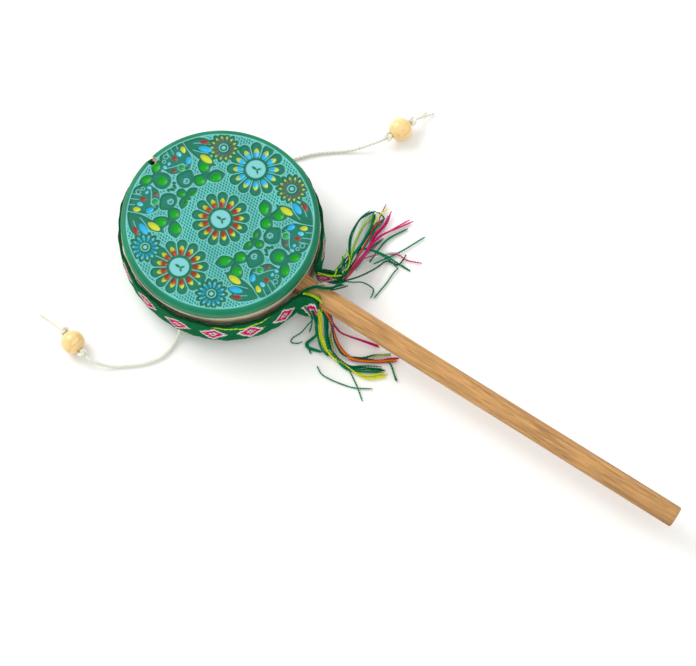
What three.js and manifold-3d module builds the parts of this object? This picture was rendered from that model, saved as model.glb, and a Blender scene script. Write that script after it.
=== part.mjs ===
// A rattle drum on a stick: a shallow wooden hoop with two tooled leather
// heads, a woven band wrapped round the hoop and tied off in two tassels at
// the root of a plain wooden stick, and two knotted cords with a wooden bead
// near the end of each.
//
// Units are millimetres, +Z is up. The drum lies flat on its lower head. The
// origin is the middle of that head, and the stick points along +X.

import * as THREE from 'three';
import { mergeVertices } from 'three/addons/utils/BufferGeometryUtils.js';
import ManifoldModule from 'manifold-3d';

const wasm = await ManifoldModule();
wasm.setup();

// ---------------------------------------------------------------- dimensions

const GAP = 0.3;                    // left between pieces that touch
const SLIVER = 0.01;                // edges shorter than this are closed up

const LEATHER = 1.1;                // thickness of both heads
const HEAD_RADIUS = 44.4;           // outside of the skirt
const SKIRT_DEPTH = 6.6;            // how far the skirt comes down the hoop
const SHOULDER = 2.0;               // rounding between the face and the skirt
const FACE_HEIGHT = 32;             // face of the upper head, overall depth of the drum
const HEAD_SIDES = 48;

const FIELD_RADIUS = 41.9;          // the tooled circle inside the plain rim
const PETAL_DEPTH = 0.3;            // petals and leaves are pressed in this far
const DENT_DEPTH = 0.6;             // and the round dents in the leaves this far
const PATTERN_TURN = -1.3;          // degrees, the pattern sits a little askew
const PATTERN_SHIFT = [-0.011, 0.0175];   // and off the middle, parts of the field

const CHIP_ANGLE = 170.5;           // degrees round the rim
const CHIP_WIDTH = 4.4;
const CHIP_RADIUS = 40.6;           // the chip reaches in this far
const CHIP_FLOOR = 24.2;            // and down to this height

const HOOP_RADIUS = HEAD_RADIUS - LEATHER - GAP;
const HOOP_WALL = 5;
const HOOP_INNER = HOOP_RADIUS - HOOP_WALL;

const STICK_RADIUS = 5;
const STICK_HEIGHT = 16;            // axis above the surface it lies on
const STICK_END = 239.5;
const STICK_CHAMFER = 1.1;
const STICK_CLEARANCE = 0.3;
const SOCKET_DEPTH = 3;             // blind hole in the far wall of the hoop

const BAND_INNER = 43.4;            // where the band is drawn tight
const BAND_SLACK = 0.3;             // how far its upper edge stands off where it is loose
const BAND_FLARE = 2.3;             // and its lower edge, over the lower head's skirt
const BAND_SLACK_ANGLE = -25;       // degrees, the loosest place
const BAND_THICKNESS = 1.5;
const BAND_BOTTOM = 11.4;           // lower edge where the band is tight
const BAND_DROP = 5.6;              // how far it slips down where it is loose
const BAND_WIDTH = 13.2;
const BAND_GAP_ANGLE = 8.6;         // degrees each side of the stick
const BAND_STEPS = 48;

const CORD_RADIUS = 0.9;
const CORD_SIDES = 8;
const CORD_STEPS = 30;
const BEAD_RADIUS = 5.35;
const BEAD_BORE = 1.3;
const KNOT_RADIUS = 2.5;
const KNOT_LENGTH = 2.8;
const KNOT_FROM_BEAD = 6.9;         // middle of a knot to middle of the bead

const STRAND_RADIUS = 0.8;          // a small bunch of yarns in a tassel
const STRAND_SIDES = 5;
const STRAND_STEPS = 8;

const COLOURS = {
  leather: 0x0f8a72,
  wood: 0xbf8a52,
  hoop: 0xc9a274,
  weave: 0x0f6b4a,
  cord: 0xe9eadb,
  bead: 0xe6c284,
};

// Routes of the two cords, chosen by hand: straight down from under the band,
// along the surface the drum lies on, up to the knot and bead, and down again.
// The bead and its two knots are centred on one of the points, on a straight.
const LEFT_BEAD = 16;
const RIGHT_BEAD = 18;
const LEFT_ROUTE = [
  [7.7, -45.1, 8.0], [7.7, -45.2, 5.6], [7.9, -45.7, 3.8], [8.2, -47.2, 2.2],
  [8.5, -49.4, 1.3], [8.7, -52.4, 1.0], [8.3, -56.6, 1.0], [6.9, -60.5, 1.0],
  [4.4, -64.3, 1.0], [1.1, -67.9, 1.0], [-2.8, -71.2, 1.0], [-6.4, -74.0, 1.2],
  [-10.0, -76.4, 2.0], [-13.8, -78.2, 3.6], [-17.8, -79.1, 4.9],
  [-21.8, -78.6, 5.4], [-28.4, -76.6, 5.4], [-35.0, -74.6, 5.4],
  [-38.4, -73.6, 4.8], [-41.6, -73.0, 3.2], [-44.6, -72.7, 1.7],
  [-47.4, -72.7, 1.0], [-50.2, -72.9, 1.0],
];
const RIGHT_ROUTE = [
  [-1.8, 44.4, 10.7], [-1.8, 44.8, 9.0], [-1.8, 45.5, 7.2], [-1.8, 45.8, 5.6],
  [-1.7, 46.4, 3.8], [-1.3, 47.9, 2.2],
  [-0.3, 49.9, 1.3], [1.6, 52.2, 1.0], [4.2, 55.2, 1.0], [7.0, 58.6, 1.0],
  [10.0, 61.8, 1.0], [13.2, 64.6, 1.0], [16.6, 67.3, 1.0], [20.2, 70.0, 1.2],
  [24.0, 73.2, 2.0], [27.8, 77.0, 3.6], [31.2, 81.0, 4.9],
  [34.2, 85.6, 5.4], [36.7, 92.0, 5.4], [39.2, 98.4, 5.4],
  [40.4, 101.6, 4.6], [41.7, 104.4, 3.0], [43.0, 106.9, 1.5],
  [44.2, 109.0, 1.0],
];

// The tassels: the yarns of each end of the band, in small bunches. Each route
// starts in the knot of its tassel and ends on the surface the drum lies on.
const UPPER_KNOT = [[48.6, 10.6, 15.4], [53.2, 12.2, 13.4], [57.4, 13.6, 11.0]];
const UPPER_STRANDS = [
  [[49.5, 11.5, 15.0], [48.9, 20.0, 12.5], [49.0, 29.0, 6.5], [47.2, 38.0, 1.8],
    [46.0, 45.5, 1.0], [48.5, 53.7, 1.0]],
  [[53.0, 12.5, 13.5], [52.4, 20.0, 9.5], [50.8, 29.0, 3.5], [50.0, 38.5, 1.2],
    [49.5, 48.6, 1.0]],
  [[55.0, 13.2, 12.0], [55.6, 20.0, 8.0], [56.3, 28.5, 2.6], [56.0, 38.5, 1.0],
    [55.2, 47.5, 1.0], [52.6, 56.7, 1.0]],
  [[56.0, 13.5, 11.5], [59.5, 20.0, 6.5], [60.4, 28.0, 2.2], [60.6, 37.0, 1.0],
    [61.6, 46.0, 1.0], [64.6, 54.2, 1.0]],
  [[57.0, 13.5, 11.0], [62.0, 21.0, 4.6], [64.4, 30.0, 1.3], [67.8, 40.4, 1.0],
    [71.6, 48.4, 1.0], [74.2, 56.1, 1.0]],
  [[57.2, 13.6, 11.0], [61.0, 24.0, 3.6], [62.6, 33.2, 1.9], [67.8, 37.6, 1.0],
    [73.4, 38.6, 1.0], [80.4, 41.4, 1.0]],
  [[57.6, 13.2, 10.8], [62.4, 17.2, 6.0], [67.0, 20.6, 2.0], [71.3, 19.4, 1.0],
    [71.4, 14.0, 1.0], [68.2, 10.4, 1.0]],
];
const LOWER_KNOT = [[48.6, -9.8, 13.6], [49.6, -8.1, 18.0], [50.8, -5.6, 22.2]];
const STICK_WRAP = [[49.4, -6.8, 20.0], [49.6, -3.0, 22.4], [50.2, 1.5, 22.9],
  [51.4, 5.4, 21.0]];
const LOWER_STRANDS = [
  [[50.6, -5.4, 21.2], [54.6, -4.9, 21.6], [57.6, -7.0, 16.0], [60.4, -10.6, 7.0],
    [65.6, -15.6, 2.2], [73.6, -18.1, 1.1], [82.0, -15.8, 1.0], [93.9, -7.8, 1.0]],
  [[50.6, -6.0, 20.6], [55.6, -6.6, 19.0], [60.0, -7.6, 11.0], [65.0, -8.4, 4.0],
    [72.0, -12.4, 1.4], [80.0, -13.0, 1.0], [88.4, -9.4, 1.0], [97.3, -3.0, 1.0]],
  [[49.6, -7.4, 19.0], [54.0, -8.8, 14.0], [58.4, -13.6, 6.0], [64.0, -18.6, 1.5],
    [72.0, -20.0, 1.0], [82.0, -18.6, 1.0], [91.0, -23.6, 1.0], [96.4, -28.0, 1.0]],
  [[48.8, -9.0, 16.0], [52.2, -11.4, 9.0], [56.4, -16.6, 2.6], [63.0, -21.6, 1.0],
    [71.0, -25.6, 1.0], [80.0, -26.0, 1.0], [95.3, -19.4, 1.0]],
  [[48.6, -9.6, 14.0], [51.0, -14.0, 7.0], [52.6, -19.6, 1.6], [56.0, -20.6, 1.0],
    [60.6, -18.4, 1.6]],
  [[55.0, -6.6, 19.0], [60.6, -7.6, 8.0], [66.6, -7.4, 2.0], [75.0, -6.0, 1.0],
    [85.4, -2.4, 1.0]],
];

// ------------------------------------------------------------------- helpers

const radians = THREE.MathUtils.degToRad;

function vectors(points) {
  return points.map((point) => new THREE.Vector3(...point));
}

// The corners and faces of a geometry as one closed surface, facing outwards.
function closedSurface(geometry) {
  const bare = geometry.clone();
  bare.deleteAttribute('normal');
  bare.deleteAttribute('uv');
  const merged = mergeVertices(bare, 1e-4);
  const corners = merged.attributes.position.array;
  const index = merged.index.array;
  const faces = [];
  const a = new THREE.Vector3();
  const b = new THREE.Vector3();
  const c = new THREE.Vector3();
  let sixVolumes = 0;
  for (let i = 0; i < index.length; i += 3) {
    const [p, q, r] = index.subarray(i, i + 3);
    if (p === q || q === r || r === p) continue;
    faces.push([p, q, r]);
    a.fromArray(corners, 3 * p);
    b.fromArray(corners, 3 * q);
    c.fromArray(corners, 3 * r);
    sixVolumes += a.dot(b.cross(c));
  }
  const outward = sixVolumes < 0 ? faces.map(([p, q, r]) => [p, r, q]) : faces;
  return { corners: Float32Array.from(corners), faces: Uint32Array.from(outward.flat()) };
}

function solidOf(geometry) {
  const { corners, faces } = closedSurface(geometry);
  return new wasm.Manifold(
    new wasm.Mesh({ numProp: 3, vertProperties: corners, triVerts: faces }),
  );
}

function geometryOf(solid) {
  const mesh = solid.getMesh();
  const geometry = new THREE.BufferGeometry();
  geometry.setAttribute('position', new THREE.BufferAttribute(mesh.vertProperties, 3));
  geometry.setIndex(new THREE.BufferAttribute(mesh.triVerts, 1));
  return geometry;
}

function joined(solids) {
  return solids.reduce((whole, solid) => whole.add(solid));
}

// A turned piece about the Z axis, from a profile of [radius, height] pairs.
function turned(profile, sides) {
  const points = profile.map(([radius, height]) => new THREE.Vector2(radius, height));
  return new THREE.LatheGeometry(points, sides).rotateX(Math.PI / 2);
}

function closedLoop(profile) {
  return [...profile, profile[0]];
}

// A round tube along a smooth route.
function tube(route, radius, sides, steps) {
  const section = new THREE.Shape();
  for (let i = 0; i < sides; i += 1) {
    const angle = (2 * Math.PI * i) / sides;
    const [x, y] = [radius * Math.cos(angle), radius * Math.sin(angle)];
    if (i === 0) section.moveTo(x, y);
    else section.lineTo(x, y);
  }
  section.closePath();
  const path = new THREE.CatmullRomCurve3(vectors(route), false, 'centripetal');
  return new THREE.ExtrudeGeometry(section, { steps, extrudePath: path, bevelEnabled: false });
}

function pieceOf(name, geometry, colour, roughness) {
  geometry.computeVertexNormals();
  const material = new THREE.MeshStandardMaterial({ color: colour, roughness, metalness: 0 });
  const mesh = new THREE.Mesh(geometry, material);
  mesh.name = name;
  return mesh;
}

function closedGeometry(geometry) {
  const { corners, faces } = closedSurface(geometry);
  const closed = new THREE.BufferGeometry();
  closed.setAttribute('position', new THREE.BufferAttribute(corners, 3));
  closed.setIndex(new THREE.BufferAttribute(faces, 1));
  return closed;
}

// --------------------------------------------------------- the tooled pattern

// The pattern is pressed into the leather. Places and sizes in it are parts of
// the field's radius. The leaves repeat in the four quarters of the field,
// mirrored across both its axes.
const QUARTERS = [[1, 1], [-1, 1], [-1, -1], [1, -1]];
const HALVES = [[1, 1], [-1, 1]];

const FLOWERS = [
  { at: [0.007, 0], petals: 13 },
  { at: [-0.02, 0.683], petals: 12 },
  { at: [-0.034, -0.694], petals: 13 },
];
const PETAL = { middle: 0.215, length: 0.19, width: 0.093, corners: 7 };
const GROOVE = { inner: 0.1, outer: 0.128, corners: 13 };

const ROSETTE = { petals: 12, radius: 0.135, scallop: 0.018, disc: 0.05 };
const ROSETTES = [[0.426, 0.717], [-0.447, 0.688], [-0.461, -0.72], [0.419, -0.745]];

// Leaves and dents are eggs: their middle, length, width and the way the wide
// end points.
const LEAVES = [
  { at: [0.505, 0.395], length: 0.2, width: 0.15, turn: 225 },
  { at: [0.425, 0.222], length: 0.16, width: 0.13, turn: 255 },
  { at: [0.305, 0.362], length: 0.18, width: 0.12, turn: 175 },
  { at: [0.902, 0.09], length: 0.15, width: 0.115, turn: 40 },
  { at: [0.41, 0.06], length: 0.11, width: 0.085, turn: 120 },
  { at: [0.565, 0.135], length: 0.17, width: 0.14, turn: 70 },
  { at: [0.675, 0.53], length: 0.3, width: 0.17, turn: 30 },
  { at: [0.785, 0.41], length: 0.2, width: 0.105, turn: 15 },
  { at: [0.79, 0.29], length: 0.18, width: 0.1, turn: -5 },
  { at: [0.672, 0.3], length: 0.13, width: 0.11, turn: 60 },
];
const MIDDLE_LEAVES = [
  { at: [0.755, 0], length: 0.2, width: 0.18, turn: 0 },
  { at: [0.5, 0], length: 0.11, width: 0.09, turn: 0 },
];
const DENTS = [
  { at: [0.492, 0.383], length: 0.1, width: 0.1, turn: 0 },
  { at: [0.429, 0.232], length: 0.1, width: 0.1, turn: 0 },
  { at: [0.316, 0.357], length: 0.12, width: 0.09, turn: 0 },
  { at: [0.905, 0.084], length: 0.1, width: 0.09, turn: 40 },
  { at: [0.52, 0.473], length: 0.12, width: 0.06, turn: -30 },
  { at: [0.576, 0.556], length: 0.13, width: 0.05, turn: -65 },
  { at: [0.639, 0.617], length: 0.1, width: 0.045, turn: -80 },
];
const MIDDLE_DENTS = [
  { at: [0.751, 0], length: 0.11, width: 0.11, turn: 0 },
];

// A point of the pattern, turned with it and brought to millimetres.
function onField([x, y]) {
  const place = new THREE.Vector2(x, y).rotateAround(new THREE.Vector2(), radians(PATTERN_TURN));
  return place.add(new THREE.Vector2(...PATTERN_SHIFT)).multiplyScalar(FIELD_RADIUS);
}

// A cutter that presses an outline, less an optional island, into the face.
function pressed(outline, depth, island = null) {
  const shape = new THREE.Shape(outline.map(onField));
  if (island) shape.holes.push(new THREE.Path(island.map(onField)));
  const above = 1;
  const geometry = new THREE.ExtrudeGeometry(shape, { depth: depth + above, bevelEnabled: false });
  return solidOf(geometry.translate(0, 0, FACE_HEIGHT - depth));
}

function eggOutline({ at, length, width, turn }, corners = 8) {
  const way = radians(turn);
  const outline = [];
  for (let i = 0; i < corners; i += 1) {
    const angle = (2 * Math.PI * i) / corners;
    const along = 0.5 * length * Math.cos(angle);
    const across = 0.5 * width * Math.sin(angle) * (1 + 0.35 * Math.cos(angle));
    outline.push([
      at[0] + along * Math.cos(way) - across * Math.sin(way),
      at[1] + along * Math.sin(way) + across * Math.cos(way),
    ]);
  }
  return outline;
}

function roundOutline(at, radius, corners, scallop = 0, lobes = 1) {
  const outline = [];
  for (let i = 0; i < corners; i += 1) {
    const angle = (2 * Math.PI * i) / corners;
    const reach = radius + scallop * Math.cos(lobes * angle);
    outline.push([at[0] + reach * Math.cos(angle), at[1] + reach * Math.sin(angle)]);
  }
  return outline;
}

function mirrored(outline, [signX, signY]) {
  const points = outline.map(([x, y]) => [x * signX, y * signY]);
  return signX * signY < 0 ? points.reverse() : points;
}

function flowerCutters({ at, petals }) {
  const { inner, outer, corners } = GROOVE;
  const rim = roundOutline(at, outer, corners);
  const cutters = [pressed(rim, PETAL_DEPTH, roundOutline(at, inner, corners))];
  for (let i = 0; i < petals; i += 1) {
    const turn = (360 * (i + 0.5)) / petals;
    const reach = [Math.cos(radians(turn)), Math.sin(radians(turn))];
    const petal = {
      at: [at[0] + PETAL.middle * reach[0], at[1] + PETAL.middle * reach[1]],
      length: PETAL.length,
      width: PETAL.width,
      turn,
    };
    cutters.push(pressed(eggOutline(petal, PETAL.corners), PETAL_DEPTH));
  }
  return cutters;
}

function rosetteCutter(at) {
  const { petals, radius, scallop, disc } = ROSETTE;
  const rim = roundOutline(at, radius, 2 * petals, scallop, petals);
  return pressed(rim, PETAL_DEPTH, roundOutline(at, disc, 8));
}

function foliageCutters(leaves, dents, quarter) {
  return [
    ...leaves.map((leaf) => pressed(mirrored(eggOutline(leaf), quarter), PETAL_DEPTH)),
    ...dents.map((dent) => pressed(mirrored(eggOutline(dent, 6), quarter), DENT_DEPTH)),
  ];
}

function patternCutters() {
  return [
    ...FLOWERS.flatMap(flowerCutters),
    ...ROSETTES.map(rosetteCutter),
    ...QUARTERS.flatMap((quarter) => foliageCutters(LEAVES, DENTS, quarter)),
    ...HALVES.flatMap((half) => foliageCutters(MIDDLE_LEAVES, MIDDLE_DENTS, half)),
  ];
}

// --------------------------------------------------------------------- pieces

// A leather cap, its face on top: a flat disc, a rounded shoulder and a skirt.
function headCap(faceHeight) {
  const underside = faceHeight - LEATHER;
  const hem = faceHeight - SKIRT_DEPTH;
  const inner = HEAD_RADIUS - LEATHER;
  const shoulderMiddle = [HEAD_RADIUS - SHOULDER, faceHeight - SHOULDER];
  const shoulder = [0, 30, 60, 90].map((angle) => [
    shoulderMiddle[0] + SHOULDER * Math.cos(radians(angle)),
    shoulderMiddle[1] + SHOULDER * Math.sin(radians(angle)),
  ]);
  return turned(
    [[0, underside], [inner, underside], [inner, hem], [HEAD_RADIUS, hem], ...shoulder, [0, faceHeight]],
    HEAD_SIDES,
  );
}

function chipCutter() {
  const reach = HEAD_RADIUS + 5 - CHIP_RADIUS;
  const height = FACE_HEIGHT + 5 - CHIP_FLOOR;
  const block = new THREE.BoxGeometry(reach, CHIP_WIDTH, height);
  block.translate(CHIP_RADIUS + reach / 2, 0, CHIP_FLOOR + height / 2);
  return solidOf(block.rotateZ(radians(CHIP_ANGLE)));
}

function upperHead() {
  const cutters = joined([chipCutter(), ...patternCutters()]);
  const tooled = solidOf(headCap(FACE_HEIGHT)).subtract(cutters).simplify(SLIVER);
  return pieceOf('top_head', geometryOf(tooled), COLOURS.leather, 0.45);
}

function lowerHead() {
  const cap = closedGeometry(headCap(0));
  const mesh = pieceOf('bottom_head', cap, COLOURS.leather, 0.5);
  mesh.rotation.x = Math.PI;
  return mesh;
}

function stickBar(radius, from, to, chamfer) {
  const profile = [
    [0, from],
    [radius, from],
    [radius, to - chamfer],
    [radius - chamfer * 0.7, to],
    [0, to],
  ];
  const bar = turned(profile, 24);
  return bar.rotateY(Math.PI / 2).translate(0, 0, STICK_HEIGHT);
}

function hoop() {
  const low = LEATHER + GAP;
  const high = FACE_HEIGHT - LEATHER - GAP;
  const wall = solidOf(turned(
    closedLoop([[HOOP_INNER, low], [HOOP_RADIUS, low], [HOOP_RADIUS, high], [HOOP_INNER, high]]),
    HEAD_SIDES,
  ));
  const bore = solidOf(stickBar(
    STICK_RADIUS + STICK_CLEARANCE,
    -HOOP_INNER - SOCKET_DEPTH - STICK_CLEARANCE,
    HOOP_RADIUS + 5,
    0.1,
  ));
  const drilled = wall.subtract(bore).subtract(chipCutter());
  return pieceOf('frame_hoop', geometryOf(drilled), COLOURS.hoop, 0.7);
}

function stick() {
  const bar = stickBar(STICK_RADIUS, -HOOP_INNER - SOCKET_DEPTH, STICK_END, STICK_CHAMFER);
  return pieceOf('handle_stick', closedGeometry(bar), COLOURS.wood, 0.6);
}

// The inner radius and the height of the band's lower edge (rise 0) or upper
// edge (rise 1). The looser it is, the more it flares and slips down.
function bandEdge(degrees, rise) {
  const loose = 0.5 + 0.5 * Math.cos(radians(degrees - BAND_SLACK_ANGLE));
  const flare = rise ? BAND_SLACK * loose : BAND_FLARE * loose ** 3;
  return {
    radius: BAND_INNER + flare,
    height: BAND_BOTTOM - BAND_DROP * loose ** 3 + rise * BAND_WIDTH,
  };
}

function wovenBand() {
  const outer = [];
  const inner = [];
  for (let i = 0; i <= BAND_STEPS; i += 1) {
    const degrees = BAND_GAP_ANGLE + ((360 - 2 * BAND_GAP_ANGLE) * i) / BAND_STEPS;
    const way = new THREE.Vector2(Math.cos(radians(degrees)), Math.sin(radians(degrees)));
    inner.push(way.clone().multiplyScalar(BAND_INNER));
    outer.push(way.multiplyScalar(BAND_INNER + BAND_THICKNESS));
  }
  const outline = new THREE.Shape([...outer, ...inner.reverse()]);
  const strip = new THREE.ExtrudeGeometry(outline, { depth: 1, bevelEnabled: false });
  const corners = strip.attributes.position;
  const corner = new THREE.Vector3();
  for (let i = 0; i < corners.count; i += 1) {
    corner.fromBufferAttribute(corners, i);
    const degrees = THREE.MathUtils.radToDeg(Math.atan2(corner.y, corner.x));
    const edge = bandEdge(degrees, Math.round(corner.z));
    const reach = Math.hypot(corner.x, corner.y);
    const scale = (reach - BAND_INNER + edge.radius) / reach;
    corners.setXYZ(i, corner.x * scale, corner.y * scale, edge.height);
  }
  return pieceOf('woven_band', closedGeometry(strip), COLOURS.weave, 0.9);
}

function tassel(name, knotRoute, strands, wraps = []) {
  const knot = solidOf(tube(knotRoute, 2.6, 8, 4));
  const yarns = [...strands, ...wraps].map(
    (route) => solidOf(tube(route, STRAND_RADIUS, STRAND_SIDES, STRAND_STEPS)),
  );
  return pieceOf(name, geometryOf(joined([knot, ...yarns])), COLOURS.weave, 0.9);
}

function beadRing() {
  const open = Math.asin(BEAD_BORE / BEAD_RADIUS);
  const steps = 7;
  const profile = [];
  for (let i = 0; i <= steps; i += 1) {
    const angle = open + ((Math.PI - 2 * open) * i) / steps;
    profile.push([BEAD_RADIUS * Math.sin(angle), -BEAD_RADIUS * Math.cos(angle)]);
  }
  return closedGeometry(turned(closedLoop(profile), 14));
}

function knotRing() {
  const half = KNOT_LENGTH / 2;
  const profile = [
    [BEAD_BORE, -half],
    [KNOT_RADIUS * 0.8, -half],
    [KNOT_RADIUS, 0],
    [KNOT_RADIUS * 0.8, half],
    [BEAD_BORE, half],
  ];
  return closedGeometry(turned(closedLoop(profile), 10));
}

// A cord with its bead and the knot on each side of the bead.
function cordPieces(side, route, beadIndex) {
  const cord = closedGeometry(tube(route, CORD_RADIUS, CORD_SIDES, CORD_STEPS));
  const pieces = [pieceOf(`${side}_cord`, cord, COLOURS.cord, 0.9)];
  const [before, bead, after] = vectors(route.slice(beadIndex - 1, beadIndex + 2));
  const along = after.clone().sub(before).normalize();
  const turn = new THREE.Quaternion().setFromUnitVectors(new THREE.Vector3(0, 0, 1), along);
  const strung = [
    [`${side}_inner_knot`, knotRing(), COLOURS.cord, -KNOT_FROM_BEAD],
    [`${side}_bead`, beadRing(), COLOURS.bead, 0],
    [`${side}_outer_knot`, knotRing(), COLOURS.cord, KNOT_FROM_BEAD],
  ];
  for (const [name, geometry, colour, offset] of strung) {
    const mesh = pieceOf(name, geometry, colour, name.endsWith('bead') ? 0.3 : 0.9);
    mesh.position.copy(bead).addScaledVector(along, offset);
    mesh.quaternion.copy(turn);
    pieces.push(mesh);
  }
  return pieces;
}

// ------------------------------------------------------------------- the drum

const drum = new THREE.Group();
drum.add(
  hoop(),
  upperHead(),
  lowerHead(),
  wovenBand(),
  tassel('upper_tassel', UPPER_KNOT, UPPER_STRANDS),
  tassel('lower_tassel', LOWER_KNOT, LOWER_STRANDS, [STICK_WRAP]),
  stick(),
  ...cordPieces('left', LEFT_ROUTE, LEFT_BEAD),
  ...cordPieces('right', RIGHT_ROUTE, RIGHT_BEAD),
);

export default drum;
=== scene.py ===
"""Dresses the rattle drum: tooled leather heads, a woven band with tassels, cords, beads and stick.

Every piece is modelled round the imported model, in metres and in its frame: +Z is up, the drum
lies on its lower head, and the stick points along +X.
"""

import math
import random

import bpy
import numpy as np
from bpy.props import FloatProperty, FloatVectorProperty, IntProperty, PointerProperty
from bpy.types import Operator, Panel, PropertyGroup
from mathutils import Matrix, Vector


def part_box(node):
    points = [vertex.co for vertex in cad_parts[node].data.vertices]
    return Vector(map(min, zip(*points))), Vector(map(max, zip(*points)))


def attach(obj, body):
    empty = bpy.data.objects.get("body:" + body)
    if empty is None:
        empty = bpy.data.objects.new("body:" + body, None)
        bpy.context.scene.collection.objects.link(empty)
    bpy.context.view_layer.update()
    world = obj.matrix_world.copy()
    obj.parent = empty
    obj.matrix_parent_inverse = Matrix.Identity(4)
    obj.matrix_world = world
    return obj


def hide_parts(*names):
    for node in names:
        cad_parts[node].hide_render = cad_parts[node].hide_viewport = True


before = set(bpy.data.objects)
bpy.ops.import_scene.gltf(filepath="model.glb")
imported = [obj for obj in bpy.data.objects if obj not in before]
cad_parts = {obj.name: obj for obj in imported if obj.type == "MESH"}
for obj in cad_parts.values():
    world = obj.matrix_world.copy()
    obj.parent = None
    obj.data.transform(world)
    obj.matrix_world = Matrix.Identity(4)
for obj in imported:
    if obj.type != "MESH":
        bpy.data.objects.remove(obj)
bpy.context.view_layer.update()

bl_info = {
    "name": "Rattle Drum",
    "version": (1, 0, 0),
    "blender": (4, 5, 0),
    "location": "3D View > Sidebar > Rattle Drum",
    "description": "Models the pieces and finishes of a rattle drum with tooled leather heads",
    "category": "Object",
}

MM = 0.001
BODY = "root"

# ------------------------------------------------------------ sizes from the frame

HEAD_LOW, HEAD_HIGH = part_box("top_head")
HOOP_LOW, HOOP_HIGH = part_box("frame_hoop")
STICK_LOW, STICK_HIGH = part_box("handle_stick")

HEAD_RADIUS = HEAD_HIGH[0]
FACE = HEAD_HIGH[2]
HEM = HEAD_LOW[2]
LEATHER = 1.1 * MM
SHOULDER = 2.0 * MM
FIELD_RADIUS = HEAD_RADIUS - 2.5 * MM      # the tooled circle inside the plain rim

CHIP_ANGLE = 170.5                         # degrees round the rim, the chip in the upper edge
CHIP_WIDTH = 4.4 * MM
CHIP_RADIUS = 40.6 * MM
CHIP_FLOOR = 24.2 * MM

HOOP_RADIUS = HOOP_HIGH[0]
HOOP_WALL = 5.0 * MM

STICK_RADIUS = (STICK_HIGH[2] - STICK_LOW[2]) / 2
STICK_HEIGHT = (STICK_HIGH[2] + STICK_LOW[2]) / 2
STICK_END = STICK_HIGH[0]
STICK_ROOT = STICK_LOW[0]

BAND_INNER = 43.4 * MM                     # where the band is drawn tight
BAND_SLACK = 0.3 * MM                      # how far its upper edge stands off where it is loose
BAND_FLARE = 2.3 * MM                      # and its lower edge
BAND_SLACK_ANGLE = -25.0                   # degrees, the loosest place
BAND_BOTTOM = 11.4 * MM                    # lower edge where the band is tight
BAND_DROP = 5.6 * MM                       # how far it slips down where it is loose
BAND_WIDTH = 13.2 * MM
BAND_MIDDLE = 45.3 * MM                    # usual radius of its outer face
BAND_THICKNESS = 1.5 * MM
BAND_GAP_ANGLE = 8.6                       # degrees each side of the stick

CORD_RADIUS = 0.9 * MM
BEAD_RADIUS = 5.35 * MM
BEAD_BORE = 1.3 * MM
KNOT_FROM_BEAD = 6.9 * MM


# ------------------------------------------------------------------ settings

def colour_setting(name, description, default):
    """A colour that the user can change."""
    return FloatVectorProperty(
        name=name, description=description, default=default,
        subtype="COLOR", size=3, min=0.0, max=1.0,
    )


def length_setting(name, description, default):
    """A length in metres that the user can change."""
    return FloatProperty(
        name=name, description=description, default=default,
        unit="LENGTH", subtype="DISTANCE", min=0.0, precision=5,
    )


class StageSettings(PropertyGroup):
    """The floor, the lights and the camera."""

    floor_colour: colour_setting("Floor", "Colour of the pale floor", (0.93, 0.93, 0.92))
    key_power: FloatProperty(
        name="Main light", description="Power of the large soft light", default=12.5,
        subtype="POWER", min=0.0,
    )
    fill_strength: FloatProperty(
        name="Fill light", description="Strength of the even light from all round",
        default=0.96, min=0.0,
    )
    lens: FloatProperty(
        name="Lens", description="Focal length of the camera", default=149.2,
        subtype="DISTANCE_CAMERA", unit="CAMERA", min=1.0,
    )


class LeatherSettings(PropertyGroup):
    """The two leather heads."""

    dye: colour_setting("Dye", "Deep colour of the plain rim and the leaves", (0.0, 0.150, 0.070))
    ground: colour_setting("Ground", "Pale colour of the net and the ridges", (0.085, 0.40, 0.365))
    disc: colour_setting("Discs", "Palest colour, of the discs and outlines", (0.17, 0.50, 0.51))
    raw: colour_setting("Raw leather", "Colour of cut edges", (0.50, 0.42, 0.28))
    pressed_depth: length_setting("Leaves", "How deep leaves and petals are pressed", 0.3 * MM)
    dent_depth: length_setting("Dents", "How deep the painted dents are pressed", 0.6 * MM)


class WoodSettings(PropertyGroup):
    """The stick, the hoop and the beads."""

    stick: colour_setting("Stick", "Main colour of the stick", (0.50, 0.262, 0.085))
    streak: colour_setting("Streaks", "Colour of the dark streaks in the grain", (0.24, 0.105, 0.033))
    hoop: colour_setting("Hoop", "Colour of the hoop", (0.72, 0.58, 0.40))
    bead: colour_setting("Beads", "Colour of the beads", (0.86, 0.60, 0.25))


class YarnSettings(PropertyGroup):
    """The woven band and the tassels."""

    green: colour_setting("Green", "Main yarn of the band", (0.0, 0.17, 0.055))
    pink: colour_setting("Pink", "Yarn of the diamonds", (0.70, 0.012, 0.17))
    lime: colour_setting("Lime", "Yarn of the zigzag", (0.52, 0.88, 0.02))
    white: colour_setting("White", "Yarn round the diamonds", (0.82, 0.80, 0.72))
    yarn_radius: length_setting("Yarn radius", "Radius of a tassel yarn", 0.46 * MM)


class CordSettings(PropertyGroup):
    """The two cords and their knots."""

    cotton: colour_setting("Cotton", "Colour of the cotton cord", (0.80, 0.80, 0.70))
    pitch: length_setting("Lay", "Length of one turn of the cord's twist", 5.2 * MM)
    plies: IntProperty(name="Plies", description="Strands twisted together", default=3, min=2)


# ---------------------------------------------------------------- small helpers

def clear_selection():
    """Leaves nothing selected, so that an operator acts only on what comes next."""
    if bpy.context.object and bpy.context.object.mode != "OBJECT":
        bpy.ops.object.mode_set(mode="OBJECT")
    bpy.ops.object.select_all(action="DESELECT")


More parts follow.
